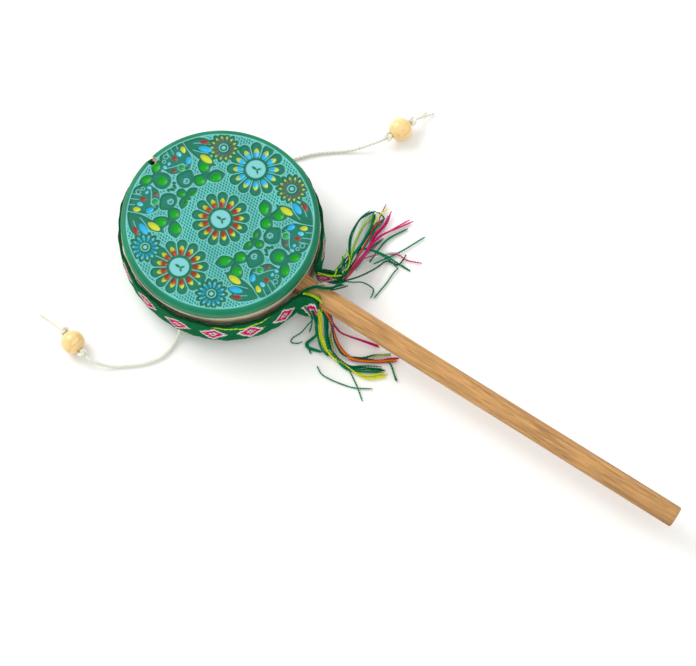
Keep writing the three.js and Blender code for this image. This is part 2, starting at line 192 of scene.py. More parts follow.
def take(piece):
    """Makes a piece the only one selected, and the active one."""
    clear_selection()
    piece.select_set(True)
    bpy.context.view_layer.objects.active = piece


def named(name):
    """Names the object that an operator has just added."""
    piece = bpy.context.object
    piece.name = name
    piece.data.name = name
    return piece


def settle(piece):
    """Puts a piece's place and turn into its mesh."""
    take(piece)
    bpy.ops.object.transform_apply(location=True, rotation=True, scale=True)


def turn_outwards(piece):
    """Makes all the faces of a closed piece look outwards."""
    take(piece)
    bpy.ops.object.mode_set(mode="EDIT")
    bpy.ops.mesh.select_all(action="SELECT")
    bpy.ops.mesh.normals_make_consistent(inside=False)
    bpy.ops.object.mode_set(mode="OBJECT")


def apply_modifier(piece, kind, **settings):
    """Adds a modifier and applies it."""
    take(piece)
    modifier = piece.modifiers.new(kind.title(), kind)
    for key, value in settings.items():
        setattr(modifier, key, value)
    bpy.ops.object.modifier_apply(modifier=modifier.name)


def smooth(piece, angle=40.0):
    """Shades a piece smooth, but for edges sharper than the angle."""
    take(piece)
    bpy.ops.object.shade_smooth_by_angle(angle=math.radians(angle))


def corners_of(piece):
    """A piece's vertices as an array."""
    places = np.empty(len(piece.data.vertices) * 3)
    piece.data.vertices.foreach_get("co", places)
    return places.reshape(-1, 3)


def move_corners(piece, places):
    """Writes an array of places back to a piece's vertices."""
    piece.data.vertices.foreach_set("co", np.ascontiguousarray(places, dtype=float).ravel())
    piece.data.update()


def record_values(piece, name, values):
    """Keeps one number for each vertex in an attribute that a material can read."""
    attribute = piece.data.attributes.new(name, "FLOAT", "POINT")
    attribute.data.foreach_set("value", np.asarray(values, dtype=np.float32))


def record_colours(piece, name, colours):
    """Keeps one colour for each vertex in an attribute that a material can read."""
    attribute = piece.data.attributes.new(name, "FLOAT_COLOR", "POINT")
    full = np.ones((len(colours), 4), dtype=np.float32)
    full[:, :3] = colours
    attribute.data.foreach_set("color", full.ravel())


def dress(piece, material, slot, *nodes):
    """Gives a piece its material, and lets it stand for the CAD nodes it replaces. The slot is not
    used.
    """
    if material is not None:
        piece.data.materials.clear()
        piece.data.materials.append(material)
    if nodes:
        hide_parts(*nodes)
    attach(piece, BODY)


def eased(value, low=0.0, high=1.0):
    """Rises smoothly from 0 at low to 1 at high."""
    share = np.clip((np.asarray(value) - low) / (high - low), 0.0, 1.0)
    return share * share * (3 - 2 * share)


# -------------------------------------------------------------------- finishes

class Finish:
    """A material under construction, its nodes wired by plain calls."""

    def __init__(self, name, roughness=0.5, **sockets):
        self.material = bpy.data.materials.new(name)
        self.material.use_nodes = True
        self.tree = self.material.node_tree
        self.shader = self.tree.nodes["Principled BSDF"]
        self.shader.inputs["Roughness"].default_value = roughness
        for socket, value in sockets.items():
            self.shader.inputs[socket.replace("_", " ")].default_value = value

    def feed(self, socket, value):
        """Links a socket to another's output, or sets it to a number or colour."""
        if isinstance(value, bpy.types.NodeSocket):
            self.tree.links.new(value, socket)
        elif hasattr(value, "__len__") and socket.type == "RGBA":
            socket.default_value = (*tuple(value)[:3], 1.0)
        else:
            socket.default_value = value

    def node(self, kind, **settings):
        made = self.tree.nodes.new(kind)
        for key, value in settings.items():
            setattr(made, key, value)
        return made

    def math(self, operation, *values):
        made = self.node("ShaderNodeMath", operation=operation)
        for socket, value in zip(made.inputs, values):
            self.feed(socket, value)
        return made.outputs[0]

    def spread(self, value, low, high, to_low=0.0, to_high=1.0, kind="SMOOTHSTEP"):
        """Maps a range to another, held at its ends."""
        made = self.node("ShaderNodeMapRange", interpolation_type=kind)
        for socket, number in zip(made.inputs, (value, low, high, to_low, to_high)):
            self.feed(socket, number)
        return made.outputs[0]

    def blend(self, share, first, second, mode="MIX"):
        """Mixes two colours."""
        made = self.node("ShaderNodeMix", data_type="RGBA", blend_type=mode)
        self.feed(made.inputs[0], share)
        self.feed(made.inputs[6], first)
        self.feed(made.inputs[7], second)
        return made.outputs[2]

    def place(self, scale=(1, 1, 1), turn=(0, 0, 0)):
        """Object coordinates, stretched and turned."""
        coords = self.node("ShaderNodeTexCoord").outputs["Object"]
        mapping = self.node("ShaderNodeMapping")
        self.feed(mapping.inputs["Vector"], coords)
        mapping.inputs["Scale"].default_value = scale
        mapping.inputs["Rotation"].default_value = turn
        return mapping.outputs[0]

    def surface(self, scale=(1, 1, 1)):
        """The piece's own UV map, stretched."""
        mapping = self.node("ShaderNodeMapping")
        self.feed(mapping.inputs["Vector"], self.node("ShaderNodeUVMap", uv_map="UVMap").outputs[0])
        mapping.inputs["Scale"].default_value = scale
        return mapping.outputs[0]

    def parts(self, vector):
        """The three parts of a vector."""
        made = self.node("ShaderNodeSeparateXYZ")
        self.feed(made.inputs[0], vector)
        return made.outputs

    def noise(self, vector, scale, detail=3.0, roughness=0.5, distortion=0.0):
        made = self.node("ShaderNodeTexNoise")
        self.feed(made.inputs["Vector"], vector)
        made.inputs["Scale"].default_value = scale
        made.inputs["Detail"].default_value = detail
        made.inputs["Roughness"].default_value = roughness
        made.inputs["Distortion"].default_value = distortion
        return made.outputs[0]

    def cells(self, vector, scale, feature="F1", randomness=1.0):
        made = self.node("ShaderNodeTexVoronoi", feature=feature)
        self.feed(made.inputs["Vector"], vector)
        made.inputs["Scale"].default_value = scale
        made.inputs["Randomness"].default_value = randomness
        return made.outputs["Distance"]

    def value(self, name):
        """One of the piece's own numbers, kept for each vertex."""
        return self.node("ShaderNodeAttribute", attribute_name=name).outputs["Fac"]

    def tint(self, name):
        """One of the piece's own colours, kept for each vertex."""
        return self.node("ShaderNodeAttribute", attribute_name=name).outputs["Color"]

    def relief(self, height, depth, strength=1.0):
        """Adds a fine relief, depth metres deep."""
        made = self.node("ShaderNodeBump")
        made.inputs["Strength"].default_value = strength
        made.inputs["Distance"].default_value = depth
        self.feed(made.inputs["Height"], height)
        before = self.shader.inputs["Normal"]
        if before.is_linked:
            self.feed(made.inputs["Normal"], before.links[0].from_socket)
        self.feed(before, made.outputs[0])

    def colour(self, value):
        self.feed(self.shader.inputs["Base Color"], value)

    def roughness(self, value):
        self.feed(self.shader.inputs["Roughness"], value)


def shaded(colour, amount):
    """A colour made darker or lighter by a factor."""
    return tuple(min(1.0, part * amount) for part in colour)


# ------------------------------------------------------------------- the stage

CAMERA_TARGET = Vector((70.6, -3.0, 0.0)) * MM
CAMERA_DISTANCE = 1.3
CAMERA_AZIMUTH = 31.43
CAMERA_ELEVATION = 70.17
CAMERA_ROLL = 2.14


class DRUM_OT_stage(Operator):
    """Lays the pale floor, hangs the soft lights and sets up the camera"""

    bl_idname = "drum.stage"
    bl_label = "Stage and Camera"

    def execute(self, context):
        settings = context.scene.drum_stage
        self.add_camera(context, settings)
        self.add_floor(settings)
        self.add_lights(context, settings)
        context.scene.view_settings.view_transform = "Standard"
        return {"FINISHED"}

    def add_camera(self, context, settings):
        azimuth = math.radians(CAMERA_AZIMUTH)
        elevation = math.radians(CAMERA_ELEVATION)
        roll = math.radians(CAMERA_ROLL)
        right = Vector((math.cos(azimuth), math.sin(azimuth), 0))
        back = Vector((
            math.sin(azimuth) * math.cos(elevation),
            -math.cos(azimuth) * math.cos(elevation),
            math.sin(elevation),
        ))
        up = back.cross(right)
        across = right * math.cos(roll) + up * math.sin(roll)
        upward = up * math.cos(roll) - right * math.sin(roll)
        turn = Matrix((across, upward, back)).transposed()
        camera_data = bpy.data.cameras.new("camera")
        camera_data.lens = settings.lens
        camera_data.sensor_width = 36.0
        camera_data.clip_end = 50.0
        camera = bpy.data.objects.new("camera", camera_data)
        camera.matrix_world = (
            Matrix.Translation(CAMERA_TARGET + back * CAMERA_DISTANCE) @ turn.to_4x4()
        )
        context.scene.collection.objects.link(camera)
        context.scene.camera = camera

    def add_floor(self, settings):
        clear_selection()
        bpy.ops.mesh.primitive_plane_add(size=8.0, location=(0, 0, -0.05 * MM))
        floor = named("floor")
        settle(floor)
        finish = Finish("floor_paper", roughness=0.9)
        finish.colour(finish.blend(
            finish.noise(finish.place(), 3.0),
            settings.floor_colour, shaded(settings.floor_colour, 1.02),
        ))
        floor.data.materials.append(finish.material)

    def add_lights(self, context, settings):
        world = bpy.data.worlds.new("soft_room")
        world.use_nodes = True
        background = world.node_tree.nodes["Background"]
        background.inputs["Color"].default_value = (1.0, 1.0, 0.99, 1.0)
        background.inputs["Strength"].default_value = settings.fill_strength
        context.scene.world = world
        key = bpy.data.lights.new("key", "AREA")
        key.shape = "DISK"
        key.size = 1.0
        key.energy = settings.key_power
        lamp = bpy.data.objects.new("key", key)
        lamp.location = (-1.02, 0.12, 0.95)
        aim = Vector((0.05, 0.0, 0.0)) - lamp.location
        lamp.rotation_euler = aim.to_track_quat("-Z", "Y").to_euler()
        context.scene.collection.objects.link(lamp)


# ----------------------------------------------------------- routes and yarns

def spline(points, step):
    """Places a step apart along a smooth curve through the points."""
    places = np.asarray(points, dtype=float)
    ends = [2 * places[0] - places[1], *places, 2 * places[-1] - places[-2]]
    fine = []
    for a, b, c, d in zip(ends, ends[1:], ends[2:], ends[3:]):
        knots = [0.0]
        for p, q in ((a, b), (b, c), (c, d)):
            knots.append(knots[-1] + max(np.linalg.norm(q - p), 1e-9) ** 0.5)
        t0, t1, t2, t3 = knots
        t = np.linspace(t1, t2, 24, endpoint=False)[:, None]
        a1 = (t1 - t) / (t1 - t0) * a + (t - t0) / (t1 - t0) * b
        a2 = (t2 - t) / (t2 - t1) * b + (t - t1) / (t2 - t1) * c
        a3 = (t3 - t) / (t3 - t2) * c + (t - t2) / (t3 - t2) * d
        b1 = (t2 - t) / (t2 - t0) * a1 + (t - t0) / (t2 - t0) * a2
        b2 = (t3 - t) / (t3 - t1) * a2 + (t - t1) / (t3 - t1) * a3
        fine.append((t2 - t) / (t2 - t1) * b1 + (t - t1) / (t2 - t1) * b2)
    fine = np.vstack([*fine, places[-1:]])
    lengths = np.concatenate([[0], np.cumsum(np.linalg.norm(np.diff(fine, axis=0), axis=1))])
    count = max(2, int(round(lengths[-1] / step)) + 1)
    wanted = np.linspace(0, lengths[-1], count)
    return np.stack([np.interp(wanted, lengths, fine[:, k]) for k in range(3)], axis=1)


def frames_along(path):
    """Two directions across a path at each of its points, turning as little as they can."""
    along = np.gradient(path, axis=0)
    along /= np.linalg.norm(along, axis=1)[:, None]
    start = np.array([0.0, 0.0, 1.0]) if abs(along[0][2]) < 0.9 else np.array([1.0, 0.0, 0.0])
    side = np.cross(along[0], start)
    sides = []
    for direction in along:
        side = side - direction * side.dot(direction)
        side /= np.linalg.norm(side)
        sides.append(side)
    sides = np.array(sides)
    return sides, np.cross(along, sides)


class Spool:
    """Winds twisted yarns and cords into one mesh."""

    def __init__(self):
        self.places, self.faces, self.wraps, self.dyes = [], [], [], []
        self.count = 0

    def wind(self, path, radius, plies, pitch, dye=(1, 1, 1), sides=4, ease=None, phase=0.0):
        """One yarn of some plies along a path, with closed ends."""
        path = np.asarray(path)
        across, over = frames_along(path)
        travelled = np.concatenate([[0], np.cumsum(np.linalg.norm(np.diff(path, axis=0), axis=1))])
        around = plies * sides
        angles = np.arange(around) * 2 * math.pi / around
        offset = 0.44 * radius
        ply = 0.56 * radius
        lean = (angles + math.pi / plies) % (2 * math.pi / plies) - math.pi / plies
        reach = offset * np.cos(lean) + np.sqrt(ply ** 2 - (offset * np.sin(lean)) ** 2)
        widths = np.ones(len(path)) if ease is None else ease(travelled / travelled[-1])
        turns = 2 * math.pi * travelled / pitch + phase
        spin = angles[None, :] + turns[:, None]
        ring = (
            across[:, None, :] * np.cos(spin)[..., None]
            + over[:, None, :] * np.sin(spin)[..., None]
        ) * (reach[None, :, None] * widths[:, None, None]) + path[:, None, :]
        base = self.count
        rings = len(path)
        self.places += [ring.reshape(-1, 3), path[:1], path[-1:]]
        tip_a, tip_b = base + rings * around, base + rings * around + 1
        for i in range(rings - 1):
            for j in range(around):
                k = (j + 1) % around
                a, b = base + i * around, base + (i + 1) * around
                self.faces.append((a + j, a + k, b + k, b + j))
                u0, u1 = j / around, (j + 1) / around
                v0, v1 = travelled[i], travelled[i + 1]
                self.wraps += [(u0, v0), (u1, v0), (u1, v1), (u0, v1)]
        last = base + (rings - 1) * around
        for j in range(around):
            k = (j + 1) % around
            self.faces.append((tip_a, base + k, base + j))
            self.faces.append((tip_b, last + j, last + k))
            self.wraps += [(j / around, 0.0)] * 3 + [(j / around, travelled[-1])] * 3
        self.dyes.append(np.tile(dye, (rings * around + 2, 1)))
        self.count += rings * around + 2

    def mesh(self, name):
        """The finished piece, with its UV map and the dye of each yarn."""
        data = bpy.data.meshes.new(name)
        data.from_pydata(np.vstack(self.places).tolist(), [], self.faces)
        layer = data.uv_layers.new(name="UVMap")
        layer.data.foreach_set("uv", np.array(self.wraps, dtype=np.float32).ravel())
        data.polygons.foreach_set("use_smooth", [True] * len(data.polygons))
        piece = bpy.data.objects.new(name, data)
        bpy.context.scene.collection.objects.link(piece)
        record_colours(piece, "dye", np.vstack(self.dyes))
        return piece


# ------------------------------------------------------------------- the cords

# The routes of the two cords, in millimetres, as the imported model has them.
LEFT_BEAD = 16                             # the route point in the middle of the bead
RIGHT_BEAD = 18
LEFT_ROUTE = [
    (7.7, -45.1, 8.0), (7.7, -45.2, 5.6), (7.9, -45.7, 3.8), (8.2, -47.2, 2.2),
    (8.5, -49.4, 1.3), (8.7, -52.4, 1.0), (8.3, -56.6, 1.0), (6.9, -60.5, 1.0),
    (4.4, -64.3, 1.0), (1.1, -67.9, 1.0), (-2.8, -71.2, 1.0), (-6.4, -74.0, 1.2),
    (-10.0, -76.4, 2.0), (-13.8, -78.2, 3.6), (-17.8, -79.1, 4.9),
    (-21.8, -78.6, 5.4), (-28.4, -76.6, 5.4), (-35.0, -74.6, 5.4),
    (-38.4, -73.6, 4.8), (-41.6, -73.0, 3.2), (-44.6, -72.7, 1.7),
    (-47.4, -72.7, 1.0), (-50.2, -72.9, 1.0),
]
RIGHT_ROUTE = [
    (-1.8, 44.4, 10.7), (-1.8, 44.8, 9.0), (-1.8, 45.5, 7.2), (-1.8, 45.8, 5.6),
    (-1.7, 46.4, 3.8), (-1.3, 47.9, 2.2),
    (-0.3, 49.9, 1.3), (1.6, 52.2, 1.0), (4.2, 55.2, 1.0), (7.0, 58.6, 1.0),
    (10.0, 61.8, 1.0), (13.2, 64.6, 1.0), (16.6, 67.3, 1.0), (20.2, 70.0, 1.2),
    (24.0, 73.2, 2.0), (27.8, 77.0, 3.6), (31.2, 81.0, 4.9),
    (34.2, 85.6, 5.4), (36.7, 92.0, 5.4), (39.2, 98.4, 5.4),
    (40.4, 101.6, 4.6), (41.7, 104.4, 3.0), (43.0, 106.9, 1.5), (44.2, 109.0, 1.0),
]
RIGHT_SPLIT = [(39.0, 98.0, 5.2), (39.4, 100.6, 4.0), (40.0, 103.4, 2.2), (40.6, 105.8, 0.9),
               (41.1, 108.3, 0.8)]


def metres(route):
    return [tuple(part * MM for part in point) for point in route]


def cotton_finish(settings):
    """Soft white cotton, its fibres following the twist."""
    finish = Finish("cotton_cord", roughness=0.9, Sheen_Weight=0.25, Sheen_Roughness=0.5)
    fibres = finish.noise(finish.surface((9.0, 1400.0, 1.0)), 1.0, detail=4.0)
    patches = finish.noise(finish.place(), 160.0)
    base = finish.blend(finish.spread(fibres, 0.3, 0.7),
                        shaded(settings.cotton, 0.88), shaded(settings.cotton, 1.08))
    finish.colour(finish.blend(finish.spread(patches, 0.45, 0.75, 0.0, 0.3), base,
                               shaded(settings.cotton, 0.78)))
    finish.relief(fibres, 0.06 * MM, 0.6)
    return finish.material


def cotton_ease(start=0.0, end=0.0):
    """Narrows a cord towards its frayed end."""
    def widths(share):
        return 1.0 - end * eased(share, 0.86, 1.0) - start * (1 - eased(share, 0.0, 0.1))
    return widths


def overhand_knot(centre, along, radius):
    """The path of a small overhand knot drawn tight round a cord."""
    along = along.normalized()
    side = along.cross(Vector((0, 0, 1))).normalized()
    over = side.cross(along)
    places = []
    for i in range(65):
        turn = 2 * math.pi * i / 64
        wide = (math.sin(turn) + 2 * math.sin(2 * turn)) / 3
        high = (math.cos(turn) - 2 * math.cos(2 * turn)) / 3
        deep = -math.sin(3 * turn)
        place = centre + side * wide * radius + over * high * radius + along * deep * radius * 0.5
        places.append(tuple(place))
    return places[:-1]


class DRUM_OT_cords(Operator):
    """Lays the two cotton cords with their knots and frayed ends"""

    bl_idname = "drum.cords"
    bl_label = "Cords and Knots"

    def execute(self, context):
        settings = context.scene.drum_cord
        cotton = cotton_finish(settings)
        self.add_cord(settings, cotton, "left", LEFT_ROUTE, LEFT_BEAD, [])
        split = self.add_split(settings, cotton)
        self.add_cord(settings, cotton, "right", RIGHT_ROUTE, RIGHT_BEAD, [split])
        return {"FINISHED"}

    def add_cord(self, settings, cotton, side, route, middle, others):
        route = metres(route)
        path = spline(route, 0.5 * MM)
        spool = Spool()
        spool.wind(path, CORD_RADIUS, settings.plies, settings.pitch, sides=6,
                   ease=cotton_ease(end=0.3))
        cord = spool.mesh(f"{side}_cotton_cord")
        dress(cord, cotton, "cotton_cord", f"{side}_cord")
        before, bead, after = (Vector(route[middle + k]) for k in (-1, 0, 1))
        along = (after - before).normalized()
        for word, sign in (("inner", -1), ("outer", 1)):
            place = bead + along * sign * KNOT_FROM_BEAD
            self.add_knot(settings, cotton, f"{side}_{word}", place, along)

    def add_knot(self, settings, cotton, name, place, along):
        spool = Spool()
        loop = overhand_knot(place, along, 1.75 * MM)
        path = spline([*loop, loop[0]], 0.4 * MM)
        spool.wind(path, 0.85 * MM, settings.plies, settings.pitch, sides=5)
        knot = spool.mesh(f"{name}_cotton_knot")
        dress(knot, cotton, "cotton_cord", f"{name}_knot")
        return knot

    def add_split(self, settings, cotton):
        spool = Spool()
        path = spline(metres(RIGHT_SPLIT), 0.4 * MM)
        spool.wind(path, 0.55 * MM, 2, 3.0 * MM, sides=5, ease=cotton_ease(end=0.5))
        split = spool.mesh("right_cord_split_end")
        dress(split, cotton, "cotton_cord")
        return split


# ------------------------------------------------------------------- the beads

def bead_finish(settings, name, colour):
    """Varnished turned wood, its grain running along the bore."""
    finish = Finish(name, roughness=0.32, Coat_Weight=0.35, Coat_Roughness=0.15)
    place = finish.place((1.0, 0.35, 1.0), (0.3, 0.2, 0.4))
    grain = finish.noise(place, 420.0, detail=5.0, distortion=1.2)
    rings = finish.noise(place, 110.0, detail=2.0)
    base = finish.blend(finish.spread(grain, 0.35, 0.7), shaded(colour, 1.06), shaded(colour, 0.84))
    finish.colour(finish.blend(finish.spread(rings, 0.4, 0.7, 0.0, 0.35), base,
                               (0.80, 0.42, 0.16)))
    finish.relief(grain, 0.03 * MM, 0.3)
    return finish.material


class DRUM_OT_beads(Operator):
    """Turns the two wooden beads and threads them on the cords"""

    bl_idname = "drum.beads"
    bl_label = "Beads"

    def execute(self, context):
        settings = context.scene.drum_wood
        self.add_bead(settings, "left", LEFT_ROUTE, LEFT_BEAD, shaded(settings.bead, 1.0))
        self.add_bead(settings, "right", RIGHT_ROUTE, RIGHT_BEAD, shaded(settings.bead, 1.08))
        return {"FINISHED"}

    def add_bead(self, settings, side, route, middle, colour):
        clear_selection()
        bpy.ops.mesh.primitive_uv_sphere_add(segments=64, ring_count=40, radius=BEAD_RADIUS)
        bead = named(f"{side}_turned_bead")
        bpy.ops.mesh.primitive_cylinder_add(vertices=40, radius=BEAD_BORE, depth=4 * BEAD_RADIUS)
        bore = bpy.context.object
        apply_modifier(bead, "BOOLEAN", object=bore, operation="DIFFERENCE", solver="EXACT")
        apply_modifier(bead, "BEVEL", width=0.25 * MM, segments=2, limit_method="ANGLE",
                       angle_limit=math.radians(35))
        bpy.data.objects.remove(bore)
        route = metres(route)
        before, centre, after = (Vector(route[middle + k]) for k in (-1, 0, 1))
        bead.rotation_euler = (after - before).to_track_quat("Z", "Y").to_euler()
        bead.location = centre
        settle(bead)
        smooth(bead, 50)
        dress(bead, bead_finish(settings, f"{side}_bead_wood", colour), "bead_wood", f"{side}_bead")


# ------------------------------------------------------------------- the stick

def stick_finish(settings):
    """Bare open-grained wood: long fibres, dark streaks and dark pores."""
    finish = Finish("stick_wood", roughness=0.62)
    fibres = finish.noise(finish.place((1.0, 26.0, 26.0)), 45.0, detail=6.0, roughness=0.62,
                          distortion=0.5)
    bands = finish.noise(finish.place((1.0, 12.0, 12.0)), 16.0, detail=3.0, distortion=0.9)
    pores = finish.noise(finish.place((1.0, 34.0, 34.0)), 95.0, detail=2.0)
    base = finish.blend(finish.spread(fibres, 0.32, 0.68),
                        shaded(settings.stick, 0.78), shaded(settings.stick, 1.25))
    base = finish.blend(finish.spread(bands, 0.46, 0.66, 0.0, 0.65), base, settings.streak)
    base = finish.blend(finish.spread(pores, 0.63, 0.70, 0.0, 0.75), base,
                        shaded(settings.streak, 0.45))
    finish.colour(base)
    finish.relief(fibres, 0.12 * MM, 0.55)
    finish.relief(finish.spread(pores, 0.70, 0.60), 0.15 * MM, 0.5)
    finish.roughness(finish.spread(fibres, 0.3, 0.7, 0.72, 0.5))
    return finish.material


class DRUM_OT_stick(Operator):
    """Shapes the plain wooden stick, a little uneven along its length"""

    bl_idname = "drum.stick"
    bl_label = "Stick"

    def execute(self, context):
        chance = random.Random(4)
        clear_selection()
        bpy.ops.mesh.primitive_circle_add(
            vertices=56, radius=STICK_RADIUS - 0.05 * MM, fill_type="NGON",
            location=(STICK_ROOT, 0, STICK_HEIGHT), rotation=(0, math.pi / 2, 0),
        )
        stick = named("turned_stick")
        settle(stick)
        bpy.ops.object.mode_set(mode="EDIT")
        bpy.ops.mesh.select_all(action="SELECT")
        steps = 90
        reach = (STICK_END - STICK_ROOT) / steps
        for _ in range(steps):
            bpy.ops.mesh.extrude_region_move(TRANSFORM_OT_translate={"value": (reach, 0, 0)})
        bpy.ops.object.mode_set(mode="OBJECT")
        places = corners_of(stick)
        self.make_uneven(places, chance)
        move_corners(stick, places)
        turn_outwards(stick)
        apply_modifier(stick, "BEVEL", width=0.9 * MM, segments=4, limit_method="ANGLE",
                       angle_limit=math.radians(50))
        smooth(stick, 50)
        dress(stick, stick_finish(context.scene.drum_wood), "stick_wood", "handle_stick")
        return {"FINISHED"}

    def make_uneven(self, places, chance):
        """Hand-sanded wood: faint flats, and a girth that changes slowly."""
        along = places[:, 0]
        radius = np.hypot(places[:, 1], places[:, 2] - STICK_HEIGHT)
        angle = np.arctan2(places[:, 2] - STICK_HEIGHT, places[:, 1])
        girth = np.zeros(len(places))
        for lobes in (0, 2, 3, 5):
            wave = chance.uniform(30, 70) / MM / 1000
            phase = chance.uniform(0, 6.28)
            girth += (0.5 + 0.5 * np.sin(along * wave + phase + lobes * angle)) * 0.06 * MM
        narrowed = (radius - girth) / np.maximum(radius, 1e-9)
        share = np.where(radius > 0.5 * STICK_RADIUS, narrowed, 1)
        places[:, 1] *= share
        places[:, 2] = STICK_HEIGHT + (places[:, 2] - STICK_HEIGHT) * share


# -------------------------------------------------------------------- the hoop

def hoop_finish(settings):
    """Bent wood with its grain running round the hoop, and painted shade near the stick."""
    finish = Finish("hoop_wood", roughness=0.55)
    place = finish.parts(finish.place())
    turn = finish.math("ARCTAN2", place[1], place[0])
    reach = finish.math("SQRT", finish.math("ADD", finish.math("POWER", place[0], 2.0),
                                            finish.math("POWER", place[1], 2.0)))
    wrap = finish.node("ShaderNodeCombineXYZ")
    finish.feed(wrap.inputs[0], finish.math("MULTIPLY", turn, 0.0035))
    finish.feed(wrap.inputs[1], finish.math("MULTIPLY", reach, 1.0))
    finish.feed(wrap.inputs[2], place[2])
    fibres = finish.noise(wrap.outputs[0], 1500.0, detail=5.0, roughness=0.6)
    bands = finish.noise(wrap.outputs[0], 380.0, detail=2.0, distortion=0.6)
    base = finish.blend(finish.spread(fibres, 0.3, 0.7), shaded(settings.hoop, 0.72),
                        shaded(settings.hoop, 1.25))
    base = finish.blend(finish.spread(bands, 0.45, 0.7, 0.0, 0.3), base,
                        shaded(settings.hoop, 0.55))
    # Painted shade: the hoop turns darker and redder near the stick, where the stick and the band's
    # ends shade it.
    nearby = finish.math("ABSOLUTE", turn)
    finish.colour(finish.blend(finish.spread(nearby, 0.06, 0.22, 0.8, 0.0), base,
                               (0.36, 0.10, 0.045)))
    finish.relief(fibres, 0.1 * MM, 0.5)
    return finish.material


def chip_cutter(name):
    """A rough-sided block in the place of the chip."""
    clear_selection()
    reach = HEAD_RADIUS + 5 * MM - CHIP_RADIUS
    height = FACE + 5 * MM - CHIP_FLOOR
    bpy.ops.mesh.primitive_cube_add(size=1.0)
    cutter = named(name)
    cutter.scale = (reach, CHIP_WIDTH, height)
    settle(cutter)
    bpy.ops.object.mode_set(mode="EDIT")
    bpy.ops.mesh.select_all(action="SELECT")
    bpy.ops.mesh.subdivide(number_cuts=11)
    bpy.ops.object.mode_set(mode="OBJECT")
    places = corners_of(cutter)
    chance = np.random.default_rng(7)
    places[:, 1] += chance.normal(0, 0.10 * MM, len(places))
    places[:, 0] += chance.normal(0, 0.10 * MM, len(places))
    places[:, 1] *= 0.92 + 0.1 * places[:, 0] / reach
    places[:, 0] += CHIP_RADIUS + reach / 2
    places[:, 2] += CHIP_FLOOR + height / 2
    turn = math.radians(CHIP_ANGLE)
    x, y = places[:, 0].copy(), places[:, 1].copy()
    places[:, 0] = x * math.cos(turn) - y * math.sin(turn)
    places[:, 1] = x * math.sin(turn) + y * math.cos(turn)
    move_corners(cutter, places)
    return cutter


def cut_chip(piece, material):
    """Breaks the chip out of a piece; the broken faces take the given material."""
    cutter = chip_cutter("chip_cutter")
    cutter.data.materials.append(material)
    apply_modifier(piece, "BOOLEAN", object=cutter, operation="DIFFERENCE", solver="EXACT",
                   material_mode="TRANSFER")
    bpy.data.objects.remove(cutter)


class DRUM_OT_hoop(Operator):
    """Bends the wooden hoop between the heads, with its sockets and the chip in its rim"""

    bl_idname = "drum.hoop"
    bl_label = "Hoop"

    def execute(self, context):
        settings = context.scene.drum_wood
        clear_selection()
        low, high = HOOP_LOW[2], HOOP_HIGH[2]
        bpy.ops.mesh.primitive_cylinder_add(
            vertices=144, radius=HOOP_RADIUS, depth=high - low, location=(0, 0, (low + high) / 2),
        )
        hoop = named("bent_hoop")
        settle(hoop)
        bpy.ops.mesh.primitive_cylinder_add(
            vertices=144, radius=HOOP_RADIUS - HOOP_WALL, depth=1.5 * (high - low),
            location=(0, 0, (low + high) / 2),
        )
        hollow = bpy.context.object
        apply_modifier(hoop, "BOOLEAN", object=hollow, operation="DIFFERENCE", solver="EXACT")
        bpy.data.objects.remove(hollow)
        clear_selection()
        bpy.ops.mesh.primitive_cylinder_add(
            vertices=48, radius=STICK_RADIUS + 0.3 * MM, depth=STICK_END + 41.3 * MM,
            location=((STICK_END - 41.3 * MM) / 2, 0, STICK_HEIGHT), rotation=(0, math.pi / 2, 0),
        )
        bar = bpy.context.object
        apply_modifier(hoop, "BOOLEAN", object=bar, operation="DIFFERENCE", solver="EXACT")
        bpy.data.objects.remove(bar)
        wood = hoop_finish(settings)
        hoop.data.materials.append(wood)
        cut_chip(hoop, wood)
        apply_modifier(hoop, "BEVEL", width=0.35 * MM, segments=2, limit_method="ANGLE",
                       angle_limit=math.radians(60))
        smooth(hoop, 35)
        dress(hoop, wood, "hoop_wood", "frame_hoop")
        return {"FINISHED"}


# --------------------------------------------------------- the tooled pattern

# Places and sizes in the pattern are parts of the field's radius. It repeats in
# the four quarters, mirrored across both its axes.
PATTERN_TURN = -1.3                        # degrees, the pattern sits a little askew
PATTERN_SHIFT = (-0.011, 0.0175)
FAR = 9.0                                  # well outside every outline

RED = (0.27, 0.035, 0.012)
YELLOW = (0.46, 0.52, 0.02)
GREEN = (0.001, 0.28, 0.008)
BLUE = (0.02, 0.36, 0.60)
DEEP_BLUE = (0.002, 0.24, 0.40)
PALE_BLUE = (0.12, 0.47, 0.61)
BROWN = (0.12, 0.075, 0.065)
BRICK = (0.25, 0.035, 0.03)

FLOWERS = [
    {"at": (0.007, 0.0), "petals": 13, "turn": 10.0, "inner": RED, "outer": YELLOW},
    {"at": (-0.020, 0.683), "petals": 12, "turn": 4.0, "inner": BLUE, "outer": YELLOW},
    {"at": (-0.034, -0.694), "petals": 13, "turn": 8.0, "inner": RED, "outer": YELLOW},
]
ROSETTES = [
    {"at": (0.426, 0.717), "inner": BROWN, "outer": YELLOW},
    {"at": (-0.447, 0.688), "inner": BROWN, "outer": YELLOW},
    {"at": (-0.461, -0.720), "inner": DEEP_BLUE, "outer": PALE_BLUE},
    {"at": (0.419, -0.745), "inner": DEEP_BLUE, "outer": PALE_BLUE},
]


